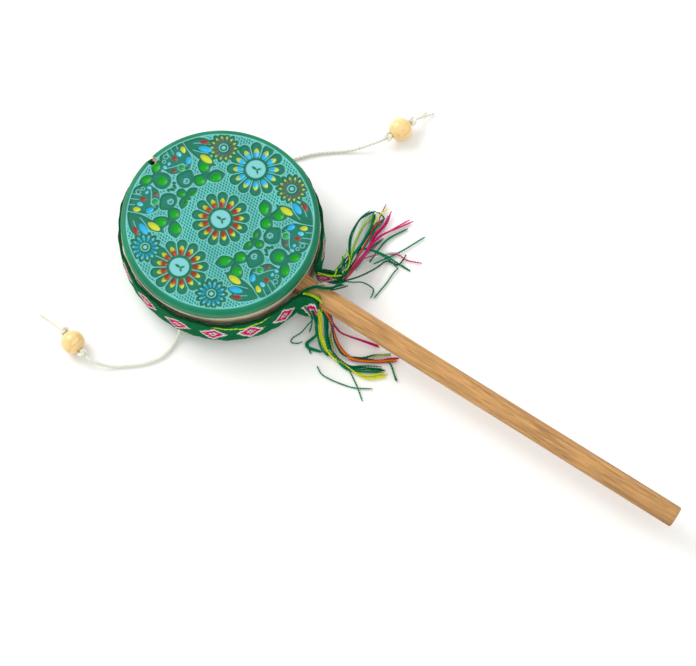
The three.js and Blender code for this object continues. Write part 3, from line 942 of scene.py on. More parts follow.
def inside_outline(x, y, outline):
    """How far inside a closed outline each point lies; negative outside."""
    corners = np.asarray(outline)
    inside = np.zeros(x.shape, dtype=bool)
    nearest = np.full(x.shape, FAR ** 2)
    for (ax, ay), (bx, by) in zip(corners, np.roll(corners, -1, axis=0)):
        ex, ey = bx - ax, by - ay
        px, py = x - ax, y - ay
        share = np.clip((px * ex + py * ey) / (ex * ex + ey * ey + 1e-18), 0, 1)
        nearest = np.minimum(nearest, (px - share * ex) ** 2 + (py - share * ey) ** 2)
        crosses = (ay > y) != (by > y)
        with np.errstate(divide="ignore", invalid="ignore"):
            inside ^= crosses & (x < ax + ex * (y - ay) / (by - ay))
    return np.where(inside, 1.0, -1.0) * np.sqrt(nearest)


def leaf(root, tip, width, belly=0.5, point=0.9, corners=14):
    """A leaf from root to tip: belly says where it is widest, point how sharp its tip is."""
    root, tip = np.asarray(root, dtype=float), np.asarray(tip, dtype=float)
    along = tip - root
    side = np.array([-along[1], along[0]]) / np.linalg.norm(along)
    share = 0.5 - 0.5 * np.cos(np.linspace(0, math.pi, corners))
    swell = np.sin(math.pi * share ** (math.log(0.5) / math.log(belly)))
    half = 0.5 * width * np.maximum(swell, 0) ** (0.5 + (point - 0.5) * share)
    left = root + share[:, None] * along + half[:, None] * side
    right = root + share[:, None] * along - half[:, None] * side
    return np.vstack([left, right[-2:0:-1]])


def egg(at, length, width, turn, lean=0.25, corners=18):
    """An egg whose wide end points along the turn, in degrees."""
    way = math.radians(turn)
    angle = np.linspace(0, 2 * math.pi, corners, endpoint=False)
    along = 0.5 * length * np.cos(angle)
    across = 0.5 * width * np.sin(angle) * (1 + lean * np.cos(angle))
    return np.stack([
        at[0] + along * math.cos(way) - across * math.sin(way),
        at[1] + along * math.sin(way) + across * math.cos(way),
    ], axis=1)


def rounded(points, steps=5):
    """A smooth closed outline through a few points."""
    points = np.asarray(points, dtype=float)
    outline = []
    for i in range(len(points)):
        a, b, c, d = (points[(i + k) % len(points)] for k in (-1, 0, 1, 2))
        for t in np.arange(steps) / steps:
            outline.append(0.5 * (
                2 * b + (c - a) * t + (2 * a - 5 * b + 4 * c - d) * t ** 2
                + (3 * b - 3 * c + d - a) * t ** 3
            ))
    return np.array(outline)


class Tooling:
    """The marks tooled into the field, gathered point by point."""

    def __init__(self, x, y):
        self.x, self.y = x, y
        self.fold_x, self.fold_y = np.abs(x), np.abs(y)
        self.pressed = np.full(x.shape, -FAR)
        self.dented = np.full(x.shape, -FAR)
        self.ridged = np.full(x.shape, -FAR)
        self.smoothed = np.full(x.shape, -FAR)
        self.ink = np.zeros((len(x), 3))

    def _near(self, outline, mirrored):
        """The points near an outline, and how far inside it they lie."""
        x, y = (self.fold_x, self.fold_y) if mirrored else (self.x, self.y)
        low, high = np.min(outline, axis=0) - 0.06, np.max(outline, axis=0) + 0.06
        near = np.flatnonzero((x > low[0]) & (x < high[0]) & (y > low[1]) & (y < high[1]))
        return near, inside_outline(x[near], y[near], outline)

    def press(self, outline, mirrored=True):
        """Presses a leaf or petal in."""
        near, depth = self._near(outline, mirrored)
        self.pressed[near] = np.maximum(self.pressed[near], depth)

    def keep(self, outline, mirrored=True):
        """Leaves an island of face inside what is pressed."""
        near, depth = self._near(outline, mirrored)
        self.pressed[near] = np.minimum(self.pressed[near], -depth)
        self.smoothed[near] = np.maximum(self.smoothed[near], depth)

    def dent(self, outline, colour, tip_colour=None, root=None, tip=None, mirrored=True):
        """Presses a painted dent, its paint changing from root to tip."""
        near, depth = self._near(outline, mirrored)
        better = depth > self.dented[near]
        chosen = near[better]
        self.dented[chosen] = depth[better]
        if tip_colour is None:
            self.ink[chosen] = colour
            return
        x, y = (self.fold_x, self.fold_y) if mirrored else (self.x, self.y)
        along = np.subtract(tip, root)
        share = ((x[chosen] - root[0]) * along[0] + (y[chosen] - root[1]) * along[1])
        share = eased(share / along.dot(along), 0.45, 0.8)[:, None]
        self.ink[chosen] = np.asarray(colour) * (1 - share) + np.asarray(tip_colour) * share

    def ridge(self, points, mirrored=True, width=0.0):
        """Leaves a thin raised line through the points."""
        x, y = (self.fold_x, self.fold_y) if mirrored else (self.x, self.y)
        for (ax, ay), (bx, by) in zip(points, points[1:]):
            ex, ey = bx - ax, by - ay
            share = np.clip(((x - ax) * ex + (y - ay) * ey) / (ex * ex + ey * ey), 0, 1)
            away = np.hypot(x - ax - share * ex, y - ay - share * ey)
            self.ridged = np.maximum(self.ridged, width - away)


def around(at, radius, degrees):
    turn = math.radians(degrees)
    return at[0] + radius * math.cos(turn), at[1] + radius * math.sin(turn)


def petal(at, turn, petals, root, tip, gap):
    """A wedge-shaped petal with a round end, a gap short of its neighbours."""
    slope = math.tan(math.pi / petals)
    shoulder = (tip + gap / 2) / (1 + slope)
    half = shoulder * slope - gap / 2
    end = np.linspace(-0.5 * math.pi, 0.5 * math.pi, 9)
    along = np.concatenate([[root], shoulder + half * np.cos(end), [root]])
    across = np.concatenate([[-root * slope + gap / 2], half * np.sin(end),
                             [root * slope - gap / 2]])
    way = math.radians(turn)
    return np.stack([at[0] + along * math.cos(way) - across * math.sin(way),
                     at[1] + along * math.sin(way) + across * math.cos(way)], axis=1)


def tool_flower(tooling, flower):
    """A flower: a plain disc in a groove, and petals with a painted bead at the root of each."""
    at, petals = flower["at"], flower["petals"]
    tooling.press(egg(at, 0.268, 0.268, 0, lean=0, corners=32), mirrored=False)
    for i in range(petals):
        turn = flower["turn"] + 360 * i / petals
        tooling.press(petal(at, turn, petals, 0.12, 0.314, 0.013), mirrored=False)
        inner, outer = around(at, 0.135, turn), around(at, 0.245, turn)
        bead = leaf(inner, outer, 0.72 / petals, belly=0.45, point=0.6, corners=9)
        tooling.dent(bead, flower["inner"], flower["outer"], inner, outer, mirrored=False)
    tooling.keep(egg(at, 0.212, 0.212, 0, lean=0, corners=32), mirrored=False)
    middle = around(at, 0.012, 0)
    for reach, turn, width in ((0.068, 180, 0.026), (0.050, 48, 0.020), (0.052, -44, 0.020)):
        tooling.press(leaf(middle, around(middle, reach, turn), width, corners=6), mirrored=False)


def tool_rosette(tooling, rosette):
    """A small rosette: a ring round a dot, and fine painted strokes in a scalloped patch."""
    at = rosette["at"]
    strokes = 14
    for i in range(strokes):
        turn = 7 + 360 * i / strokes
        tooling.press(leaf(around(at, 0.06, turn), around(at, 0.178, turn), 0.062, belly=0.62,
                           point=0.6, corners=10), mirrored=False)
        inner, outer = around(at, 0.068, turn), around(at, 0.142, turn)
        tooling.dent(leaf(inner, outer, 0.026, corners=7), rosette["inner"], rosette["outer"],
                     inner, outer, mirrored=False)
    tooling.press(egg(at, 0.25, 0.25, 0, lean=0, corners=28), mirrored=False)
    tooling.keep(egg(at, 0.105, 0.105, 0, lean=0, corners=24), mirrored=False)
    ring = egg(at, 0.078, 0.078, 0, lean=0, corners=20)
    tooling.press(ring, mirrored=False)
    tooling.keep(egg(at, 0.046, 0.046, 0, lean=0, corners=16), mirrored=False)


def tool_trefoil(tooling):
    """Three pointed leaves on one stalk, each with a round green dent."""
    tooling.press(leaf((0.395, 0.300), (0.250, 0.452), 0.150, belly=0.52, point=1.0))
    tooling.press(rounded([(0.405, 0.335), (0.425, 0.435), (0.388, 0.478), (0.490, 0.476),
                           (0.573, 0.432), (0.560, 0.365), (0.480, 0.312)]))
    tooling.press(rounded([(0.385, 0.300), (0.362, 0.232), (0.405, 0.170), (0.470, 0.175),
                           (0.512, 0.235), (0.470, 0.300), (0.425, 0.330)]))
    tooling.dent(egg((0.320, 0.356), 0.118, 0.092, 132), GREEN)
    tooling.dent(egg((0.492, 0.386), 0.100, 0.096, 0, lean=0), GREEN)
    tooling.dent(egg((0.432, 0.235), 0.096, 0.092, 0, lean=0), GREEN)


def tool_small_trefoil(tooling):
    """A smaller trefoil between the centre flower and the club."""
    tooling.press(leaf((0.455, 0.012), (0.398, 0.150), 0.092, belly=0.5, point=0.95))
    tooling.press(egg((0.500, 0.0), 0.125, 0.105, 0))
    tooling.press(egg((0.430, 0.0), 0.10, 0.05, 0, lean=0))
    tooling.dent(egg((0.408, 0.062), 0.070, 0.052, 100), shaded(GREEN, 0.8))
    tooling.dent(egg((0.502, 0.0), 0.068, 0.064, 0, lean=0), shaded(GREEN, 0.9))


def tool_club(tooling):
    """A round leaf on the middle line with two pointed ones beyond it."""
    tooling.press(rounded([(0.665, 0.0), (0.690, 0.070), (0.760, 0.098), (0.830, 0.072),
                           (0.880, 0.030), (0.880, -0.030), (0.830, -0.072), (0.760, -0.098),
                           (0.690, -0.070)]))
    tooling.press(leaf((0.850, 0.010), (0.945, 0.170), 0.118, belly=0.5, point=0.9))
    tooling.dent(egg((0.760, 0.0), 0.104, 0.100, 0, lean=0), GREEN)
    tooling.dent(egg((0.907, 0.086), 0.098, 0.084, 60), GREEN)


def tool_snail(tooling):
    """A curled leaf with a pale comma in it, and two small bulbs beside it."""
    tooling.press(rounded([(0.490, 0.215), (0.578, 0.278), (0.640, 0.215), (0.665, 0.130),
                           (0.610, 0.068), (0.540, 0.055), (0.488, 0.100), (0.478, 0.160)]))
    tooling.press(egg((0.610, 0.020), 0.060, 0.036, 20))
    tooling.press(egg((0.640, 0.052), 0.044, 0.032, -30))
    comma = [(0.575, 0.150), (0.556, 0.172), (0.528, 0.168), (0.518, 0.142), (0.532, 0.118),
             (0.558, 0.116), (0.566, 0.134), (0.550, 0.142)]
    tooling.ridge(comma, width=0.003)


def tool_palm(tooling):
    """A hand-shaped leaf whose three fingers hold a painted stroke each."""
    tooling.press(leaf((0.860, 0.488), (0.425, 0.478), 0.105, belly=0.62, point=0.55))
    tooling.press(leaf((0.850, 0.500), (0.520, 0.598), 0.110, belly=0.62, point=0.7))
    tooling.press(leaf((0.850, 0.500), (0.588, 0.668), 0.100, belly=0.60, point=0.8))
    tooling.dent(leaf((0.600, 0.476), (0.452, 0.474), 0.070, point=0.55), YELLOW)
    tooling.dent(leaf((0.668, 0.536), (0.532, 0.590), 0.066, point=0.6), BLUE)
    tooling.dent(leaf((0.705, 0.598), (0.612, 0.650), 0.046, point=0.6), BRICK)
    tooling.ridge([(0.868, 0.500), (0.70, 0.428), (0.62, 0.425)])
    tooling.ridge([(0.70, 0.478), (0.62, 0.505), (0.56, 0.53)])
    tooling.ridge([(0.74, 0.548), (0.67, 0.598), (0.62, 0.615)])


def tool_wing(tooling):
    """A feathered wing: small painted dents and thin feather lines."""
    tooling.press(rounded([(0.605, 0.290), (0.660, 0.395), (0.760, 0.445), (0.862, 0.488),
                           (0.918, 0.412), (0.940, 0.330), (0.952, 0.235), (0.925, 0.175),
                           (0.868, 0.118), (0.800, 0.112), (0.722, 0.118), (0.672, 0.170),
                           (0.640, 0.235)]))
    tooling.dent(egg((0.789, 0.420), 0.078, 0.050, 35), YELLOW)
    tooling.dent(egg((0.796, 0.352), 0.062, 0.044, 15), PALE_BLUE)
    tooling.dent(egg((0.802, 0.284), 0.070, 0.046, 25), BRICK)
    tooling.dent(egg((0.670, 0.350), 0.088, 0.056, 70), BLUE)
    tooling.dent(egg((0.682, 0.240), 0.052, 0.044, 0, lean=0), shaded(GREEN, 1.3))
    tooling.dent(egg((0.726, 0.165), 0.066, 0.050, -35), BROWN)
    tooling.dent(egg((0.828, 0.142), 0.046, 0.034, 10), PALE_BLUE)
    tooling.dent(egg((0.818, 0.200), 0.040, 0.026, 80), PALE_BLUE)
    tooling.ridge([(0.838, 0.392), (0.905, 0.432)])
    tooling.ridge([(0.838, 0.318), (0.938, 0.372)])
    tooling.ridge([(0.840, 0.262), (0.930, 0.300)])
    tooling.ridge([(0.640, 0.292), (0.700, 0.286), (0.728, 0.240), (0.765, 0.185),
                   (0.800, 0.150)])
    for at, radius in (((0.892, 0.248), 0.026), ((0.872, 0.190), 0.018), ((0.682, 0.240), 0.038)):
        ring = [around(at, radius, 30 * i) for i in range(13)]
        tooling.ridge(ring)


def net_value(x, y):
    """The net of the ground: high in its holes, which sit in staggered slanting rows."""
    way = math.radians(143.7)
    along = x * math.cos(way) + y * math.sin(way)
    across = -x * math.sin(way) + y * math.cos(way)
    along = along + 0.18 * MM * np.sin(across / (4.3 * MM)) + 0.12 * MM * np.sin(x / (2.9 * MM))
    across = across + 0.16 * MM * np.sin(along / (5.1 * MM))
    a = 2 * math.pi * across / (1.50 * MM)
    b = 2 * math.pi * along / (2.30 * MM)
    return np.cos(a) * np.cos(b)


# --------------------------------------------------------------- the two heads

def leather_ring_rows():
    """Radius and height of the rows that carry the face down round the shoulder to the hem."""
    rows = []
    for degrees in (11, 22, 34, 46, 58, 70, 80, 90):
        turn = math.radians(degrees)
        rows.append((HEAD_RADIUS - SHOULDER + SHOULDER * math.sin(turn),
                     FACE - SHOULDER + SHOULDER * math.cos(turn)))
    for share in (0.3, 0.6, 0.85):
        height = FACE - SHOULDER + (HEM + 0.9 * MM - FACE + SHOULDER) * share
        rows.append((HEAD_RADIUS - 0.05 * MM * math.sin(math.pi * share), height))
    rows += [
        (HEAD_RADIUS + 0.02 * MM, HEM + 0.95 * MM),
        (HEAD_RADIUS + 0.16 * MM, HEM + 0.55 * MM),
        (HEAD_RADIUS + 0.18 * MM, HEM + 0.12 * MM),
        (HEAD_RADIUS + 0.02 * MM, HEM),
        (HEAD_RADIUS - LEATHER + 0.25 * MM, HEM),
        (HEAD_RADIUS - LEATHER + 0.05 * MM, HEM + 0.2 * MM),
        (HEAD_RADIUS - LEATHER + 0.03 * MM, FACE - LEATHER - 0.4 * MM),
        (HEAD_RADIUS - LEATHER - 0.4 * MM, FACE - LEATHER),
    ]
    return rows


def leather_cap(name, cells):
    """A cap of leather: a fine flat disc, its edge drawn down over a shoulder to a hem."""
    clear_selection()
    bpy.ops.mesh.primitive_grid_add(x_subdivisions=cells, y_subdivisions=cells, size=2.0)
    cap = named(name)
    places = corners_of(cap)
    a, b = places[:, 0].copy(), places[:, 1].copy()
    reach = np.maximum(np.abs(a), np.abs(b))
    steep = np.abs(b) > np.abs(a)
    with np.errstate(divide="ignore", invalid="ignore"):
        turn = np.where(steep, math.pi / 2 - math.pi / 4 * a / b, math.pi / 4 * b / a)
    turn = np.where(reach < 1e-12, 0.0, turn)
    sign = np.where(np.where(steep, b, a) < 0, -1.0, 1.0)
    flat = HEAD_RADIUS - SHOULDER
    places[:, 0] = sign * reach * np.cos(turn) * flat
    places[:, 1] = sign * reach * np.sin(turn) * flat
    places[:, 2] = FACE
    move_corners(cap, places)
    take(cap)
    bpy.ops.object.mode_set(mode="EDIT")
    bpy.ops.mesh.select_mode(type="EDGE")
    bpy.ops.mesh.select_all(action="SELECT")
    bpy.ops.mesh.region_to_loop()
    radius, height = flat, FACE
    for next_radius, next_height in leather_ring_rows():
        bpy.ops.mesh.extrude_edges_move(
            TRANSFORM_OT_translate={"value": (0, 0, next_height - height)})
        bpy.ops.transform.resize(
            value=(next_radius / radius, next_radius / radius, 1), center_override=(0, 0, 0))
        radius, height = next_radius, next_height
    bpy.ops.mesh.edge_face_add()
    bpy.ops.mesh.select_all(action="SELECT")
    bpy.ops.mesh.normals_make_consistent(inside=False)
    bpy.ops.mesh.select_mode(type="VERT")
    bpy.ops.object.mode_set(mode="OBJECT")
    return cap


def net_holes(finish, place):
    """The holes of the net in nodes, in the same places as in the mesh."""
    way = math.radians(143.7)
    x, y, _ = finish.parts(place)

    def add(*values):
        total = values[0]
        for value in values[1:]:
            total = finish.math("ADD", total, value)
        return total

    def scaled(value, amount):
        return finish.math("MULTIPLY", value, amount)

    def wave(value, length, height):
        return scaled(finish.math("SINE", scaled(value, 1 / length)), height)

    along = add(scaled(x, math.cos(way)), scaled(y, math.sin(way)))
    across = add(scaled(x, -math.sin(way)), scaled(y, math.cos(way)))
    along = add(along, wave(across, 4.3 * MM, 0.18 * MM), wave(x, 2.9 * MM, 0.12 * MM))
    across = add(across, wave(along, 5.1 * MM, 0.16 * MM))
    a = finish.math("COSINE", scaled(across, 2 * math.pi / (1.50 * MM)))
    b = finish.math("COSINE", scaled(along, 2 * math.pi / (2.30 * MM)))
    return finish.math("MULTIPLY", a, b)


def tooled_finish(settings):
    """Dyed and antiqued leather: dark in the pressed leaves, pale on the ridges, glossy paint."""
    finish = Finish("tooled_leather", roughness=0.4, Specular_IOR_Level=0.25)
    place = finish.place()
    pressed = finish.value("pressed")
    dented = finish.value("dented")
    ridged = finish.value("ridged")
    plain = finish.value("plain")
    cloud = finish.noise(place, 55.0, detail=4.0)
    grain = finish.cells(place, 1700.0)
    holes = finish.spread(net_holes(finish, place), 0.08, 0.34)
    away = finish.spread(pressed, -0.75, -0.35, 1.0, 0.0)
    holes = finish.math("MULTIPLY", holes, away)
    holes = finish.math("MULTIPLY", holes, finish.spread(plain, 0.3, 0.7, 1.0, 0.0))
    ground = finish.blend(finish.spread(cloud, 0.35, 0.7), settings.ground,
                          shaded(settings.ground, 1.22))
    ground = finish.blend(finish.math("MULTIPLY", holes, 0.9), ground, (0.003, 0.15, 0.11))
    ground = finish.blend(finish.spread(plain, 0.4, 0.6), ground, settings.disc)
    outline = finish.spread(pressed, -0.60, -0.30, 0.0, 0.8)
    ground = finish.blend(outline, ground, shaded(settings.disc, 0.85))
    pit = finish.blend(finish.spread(pressed, 0.0, 2.2), shaded(settings.dye, 0.85),
                       (0.002, 0.155, 0.105))
    pit = finish.blend(finish.spread(cloud, 0.45, 0.75, 0.0, 0.5), pit,
                       shaded(settings.dye, 1.2))
    body = finish.blend(finish.spread(pressed, -0.18, 0.12), ground, pit)
    body = finish.blend(finish.spread(ridged, -0.30, -0.12), body, shaded(settings.disc, 0.8))
    paint = finish.blend(finish.spread(dented, 0.0, 1.2, 0.0, 0.35), finish.tint("ink"),
                         finish.blend(0.4, finish.tint("ink"), finish.tint("ink"), "ADD"))
    body = finish.blend(finish.spread(dented, -0.2, 0.1), body, paint)
    rim = finish.blend(finish.spread(cloud, 0.3, 0.75), settings.dye, shaded(settings.dye, 1.35))
    body = finish.blend(finish.value("rim"), body, rim)
    edge = finish.math("ADD", finish.value("hem"), finish.spread(cloud, 0.3, 0.7, -0.18, 0.18))
    raw = finish.blend(cloud, shaded(settings.raw, 0.85), shaded(settings.raw, 1.25))
    finish.colour(finish.blend(finish.spread(edge, 0.4, 0.6), body, raw))
    wet = finish.spread(dented, -0.1, 0.2, 0.42, 0.16)
    finish.roughness(finish.math("MAXIMUM", wet, finish.spread(edge, 0.4, 0.6, 0.0, 0.85)))
    finish.relief(holes, -0.16 * MM, 0.9)
    finish.relief(grain, 0.035 * MM, 0.45)
    finish.relief(finish.noise(place, 900.0), 0.04 * MM, 0.3)
    return finish.material


def raw_finish(settings):
    """Broken leather and board, pale and fibrous."""
    finish = Finish("broken_edge", roughness=0.9)
    fibres = finish.noise(finish.place((1, 1, 5)), 1200.0, detail=4.0)
    finish.colour(finish.blend(fibres, shaded(settings.raw, 0.7), shaded(settings.raw, 1.5)))
    finish.relief(fibres, 0.15 * MM, 0.7)
    return finish.material


class DRUM_OT_top_head(Operator):
    """Tools and paints the upper leather head and stretches it over the hoop"""

    bl_idname = "drum.top_head"
    bl_label = "Upper Head"

    def execute(self, context):
        settings = context.scene.drum_leather
        head = leather_cap("tooled_head", 268)
        places = corners_of(head)
        flat = places[:, 2] > FACE - 1e-7
        tooling = self.tool(places[:, 0], places[:, 1], flat)
        self.sink(head, places, flat, tooling, settings)
        head.data.materials.append(tooled_finish(settings))
        cut_chip(head, raw_finish(settings))
        smooth(head, 60)
        dress(head, None, "tooled_leather", "top_head")
        return {"FINISHED"}

    def tool(self, x, y, flat):
        """All the marks of the pattern at the points of the face."""
        turn = math.radians(PATTERN_TURN)
        across = x / FIELD_RADIUS - PATTERN_SHIFT[0]
        up = y / FIELD_RADIUS - PATTERN_SHIFT[1]
        u = across * math.cos(turn) + up * math.sin(turn)
        v = -across * math.sin(turn) + up * math.cos(turn)
        tooling = Tooling(np.where(flat, u, FAR), np.where(flat, v, FAR))
        for motif in (tool_trefoil, tool_small_trefoil, tool_club, tool_snail, tool_palm, tool_wing):
            motif(tooling)
        for rosette in ROSETTES:
            tool_rosette(tooling, rosette)
        for flower in FLOWERS:
            tool_flower(tooling, flower)
        return tooling

    def sink(self, head, places, flat, tooling, settings):
        """Presses the marks into the mesh, and keeps what the finish reads."""
        scale = FIELD_RADIUS / MM
        pressed, dented, ridged = (
            np.clip(part * scale, -9, 9) for part in
            (tooling.pressed, tooling.dented, tooling.ridged)
        )
        smoothed = tooling.smoothed * scale
        radius = np.hypot(places[:, 0], places[:, 1]) / MM
        field = FIELD_RADIUS / MM
        rim = np.where(flat, eased(radius, field + 0.05, field + 0.25), 1.0)
        line = np.where(flat, eased(radius, field - 0.55, field - 0.35), 1.0)
        inside = np.minimum(pressed, (field - 0.4 - radius))
        raised = eased(ridged, -0.42, -0.05)
        plain = np.maximum(line, eased(smoothed, -0.1, 0.25))
        holes = eased(net_value(places[:, 0], places[:, 1]), 0.0, 0.6)
        holes = holes * eased(-pressed, 0.35, 0.8) * (1 - plain)
        bowl = eased(dented, -0.15, 1.15)
        depth = settings.pressed_depth * eased(inside, -0.1, 0.45) * (1 - 0.85 * raised)
        depth = depth - 0.05 * MM * eased(inside, 0.4, 2.2)
        depth = depth + settings.dent_depth * bowl + 0.13 * MM * holes + 0.06 * MM * rim
        places[:, 2] -= np.where(flat, depth, 0.0)
        move_corners(head, places)
        record_values(head, "pressed", np.where(flat, inside, -9))
        record_values(head, "dented", np.where(flat, dented, -9))
        record_values(head, "ridged", np.where(flat & (pressed > -0.3), ridged, -9))
        record_values(head, "plain", plain)
        record_values(head, "rim", rim)
        hem = 1 - eased(places[:, 2], HEM + 0.55 * MM, HEM + 1.3 * MM)
        within = radius < (HEAD_RADIUS - 0.6 * LEATHER) / MM
        under = within & (places[:, 2] < FACE - 0.8 * LEATHER)
        record_values(head, "hem", np.where(under, 1.0, hem))
        record_colours(head, "ink", tooling.ink)


def plain_finish(settings):
    """Smooth dyed leather with fine grain, scuffed where the drum stands."""
    finish = Finish("plain_leather", roughness=0.45, Coat_Weight=0.15, Coat_Roughness=0.3)
    place = finish.place()
    cloud = finish.noise(place, 45.0, detail=5.0)
    grain = finish.cells(place, 1500.0)
    creases = finish.cells(finish.place((1, 1.6, 1), (0, 0, 0.5)), 330.0, "DISTANCE_TO_EDGE")
    base = finish.blend(finish.spread(cloud, 0.3, 0.75), settings.dye, shaded(settings.dye, 1.5))
    scuffs = finish.noise(finish.place((1, 9, 1), (0, 0, 0.7)), 160.0, detail=3.0)
    base = finish.blend(finish.spread(scuffs, 0.62, 0.74, 0.0, 0.35), base,
                        (0.10, 0.38, 0.33))
    edge = finish.math("ADD", finish.value("hem"), finish.spread(cloud, 0.3, 0.7, -0.18, 0.18))
    raw = finish.blend(cloud, shaded(settings.raw, 0.8), shaded(settings.raw, 1.2))
    finish.colour(finish.blend(finish.spread(edge, 0.4, 0.6), base, raw))
    finish.roughness(finish.spread(cloud, 0.3, 0.7, 0.38, 0.55))
    finish.relief(grain, 0.04 * MM, 0.5)
    finish.relief(finish.spread(creases, 0.0, 0.08), 0.04 * MM, 0.35)
    return finish.material


class DRUM_OT_bottom_head(Operator):
    """Stretches the plain lower leather head over the hoop"""

    bl_idname = "drum.bottom_head"
    bl_label = "Lower Head"

    def execute(self, context):
        settings = context.scene.drum_leather
        head = leather_cap("plain_head", 72)
        places = corners_of(head)
        radius = np.hypot(places[:, 0], places[:, 1])
        hem = 1 - eased(places[:, 2], HEM + 0.55 * MM, HEM + 1.3 * MM)
        under = (places[:, 2] < FACE - 0.5 * LEATHER) & (radius < HEAD_RADIUS - 0.6 * LEATHER)
        record_values(head, "hem", np.where(under, 1.0, hem))
        take(head)
        bpy.ops.object.mode_set(mode="EDIT")
        bpy.ops.mesh.select_all(action="SELECT")
        bpy.ops.transform.resize(value=(1, 1, -1), center_override=(0, 0, 0))
        bpy.ops.transform.translate(value=(0, 0, FACE))
        bpy.ops.mesh.normals_make_consistent(inside=False)
        bpy.ops.object.mode_set(mode="OBJECT")
        smooth(head, 50)
        dress(head, plain_finish(settings), "plain_leather", "bottom_head")
        return {"FINISHED"}


# -------------------------------------------------------------------- the band

DIAMOND_PITCH = 21.0                       # degrees round the band from one to the next
DIAMOND_START = -102.0
DIAMOND_LENGTH = 12.6 * MM
DIAMOND_HEIGHT = 10.4 * MM
DIAMOND_MIDDLE = 5.6 * MM                  # above the band's lower edge
STITCH = (0.9 * MM, 0.55 * MM)             # along and across
ZIGZAG_MIDDLES = 3
ZIGZAG_ANGLE = -44.0


# The two ends of the band leave the hoop and run out beside the stick. Each has
# its lower edge, middle and upper edge, in millimetres, outwards from the hoop.
UPPER_END = (
    [(47.6, 8.2, 7.4), (51.4, 9.4, 7.4), (55.0, 11.6, 7.2), (57.6, 14.6, 6.4)],
    [(47.2, 8.0, 13.4), (50.8, 9.8, 13.0), (54.6, 11.8, 12.8), (57.2, 14.6, 11.4)],
    [(46.6, 8.0, 19.6), (49.8, 9.9, 19.0), (53.8, 11.9, 18.2), (56.2, 14.2, 16.0)],
)
LOWER_END = (
    [(48.0, -8.8, 7.0), (51.0, -8.6, 8.0), (54.2, -7.8, 8.8), (56.4, -7.2, 9.2)],
    [(47.8, -7.6, 13.6), (51.2, -6.6, 14.6), (54.6, -6.2, 14.6), (56.6, -6.2, 13.4)],
    [(47.2, -5.0, 20.0), (50.6, -3.9, 21.0), (54.2, -3.4, 21.0), (56.0, -4.0, 18.8)],
)
END_COLUMNS = 36
HOOP_COLUMNS = 560


def band_edge(angle, rise):
    """Radius of the band's outer face and height of its lower (0) or upper (1) edge."""
    loose = 0.5 + 0.5 * np.cos(angle - math.radians(BAND_SLACK_ANGLE))
    low = BAND_INNER + BAND_FLARE * loose ** 3
    high = BAND_INNER + BAND_SLACK * loose
    radius = low * (1 - rise) + high * rise + BAND_THICKNESS
    return radius, BAND_BOTTOM - BAND_DROP * loose ** 3 + rise * BAND_WIDTH


def evenly(path, count):
    """A path cut into a number of equal steps."""
    lengths = np.concatenate([[0], np.cumsum(np.linalg.norm(np.diff(path, axis=0), axis=1))])
    wanted = np.linspace(0, lengths[-1], count + 1)
    return np.stack([np.interp(wanted, lengths, path[:, k]) for k in range(3)], axis=1)


def band_rail(number):
    """One of the three lines along the band, from the upper end round to the lower end."""
    gap = math.radians(BAND_GAP_ANGLE)
    angle = np.linspace(-2 * math.pi + gap, -gap, HOOP_COLUMNS + 1)
    radius, height = band_edge(angle, number / 2)
    hoop = np.stack([radius * np.cos(angle), radius * np.sin(angle), height], axis=1)
    upper = spline([hoop[4], *np.array(metres(UPPER_END[number]))], 0.2 * MM)
    lower = spline([hoop[-5], *np.array(metres(LOWER_END[number]))], 0.2 * MM)
    return np.vstack([
        evenly(upper, END_COLUMNS + 4)[::-1], hoop[5:-5], evenly(lower, END_COLUMNS + 4),
    ])


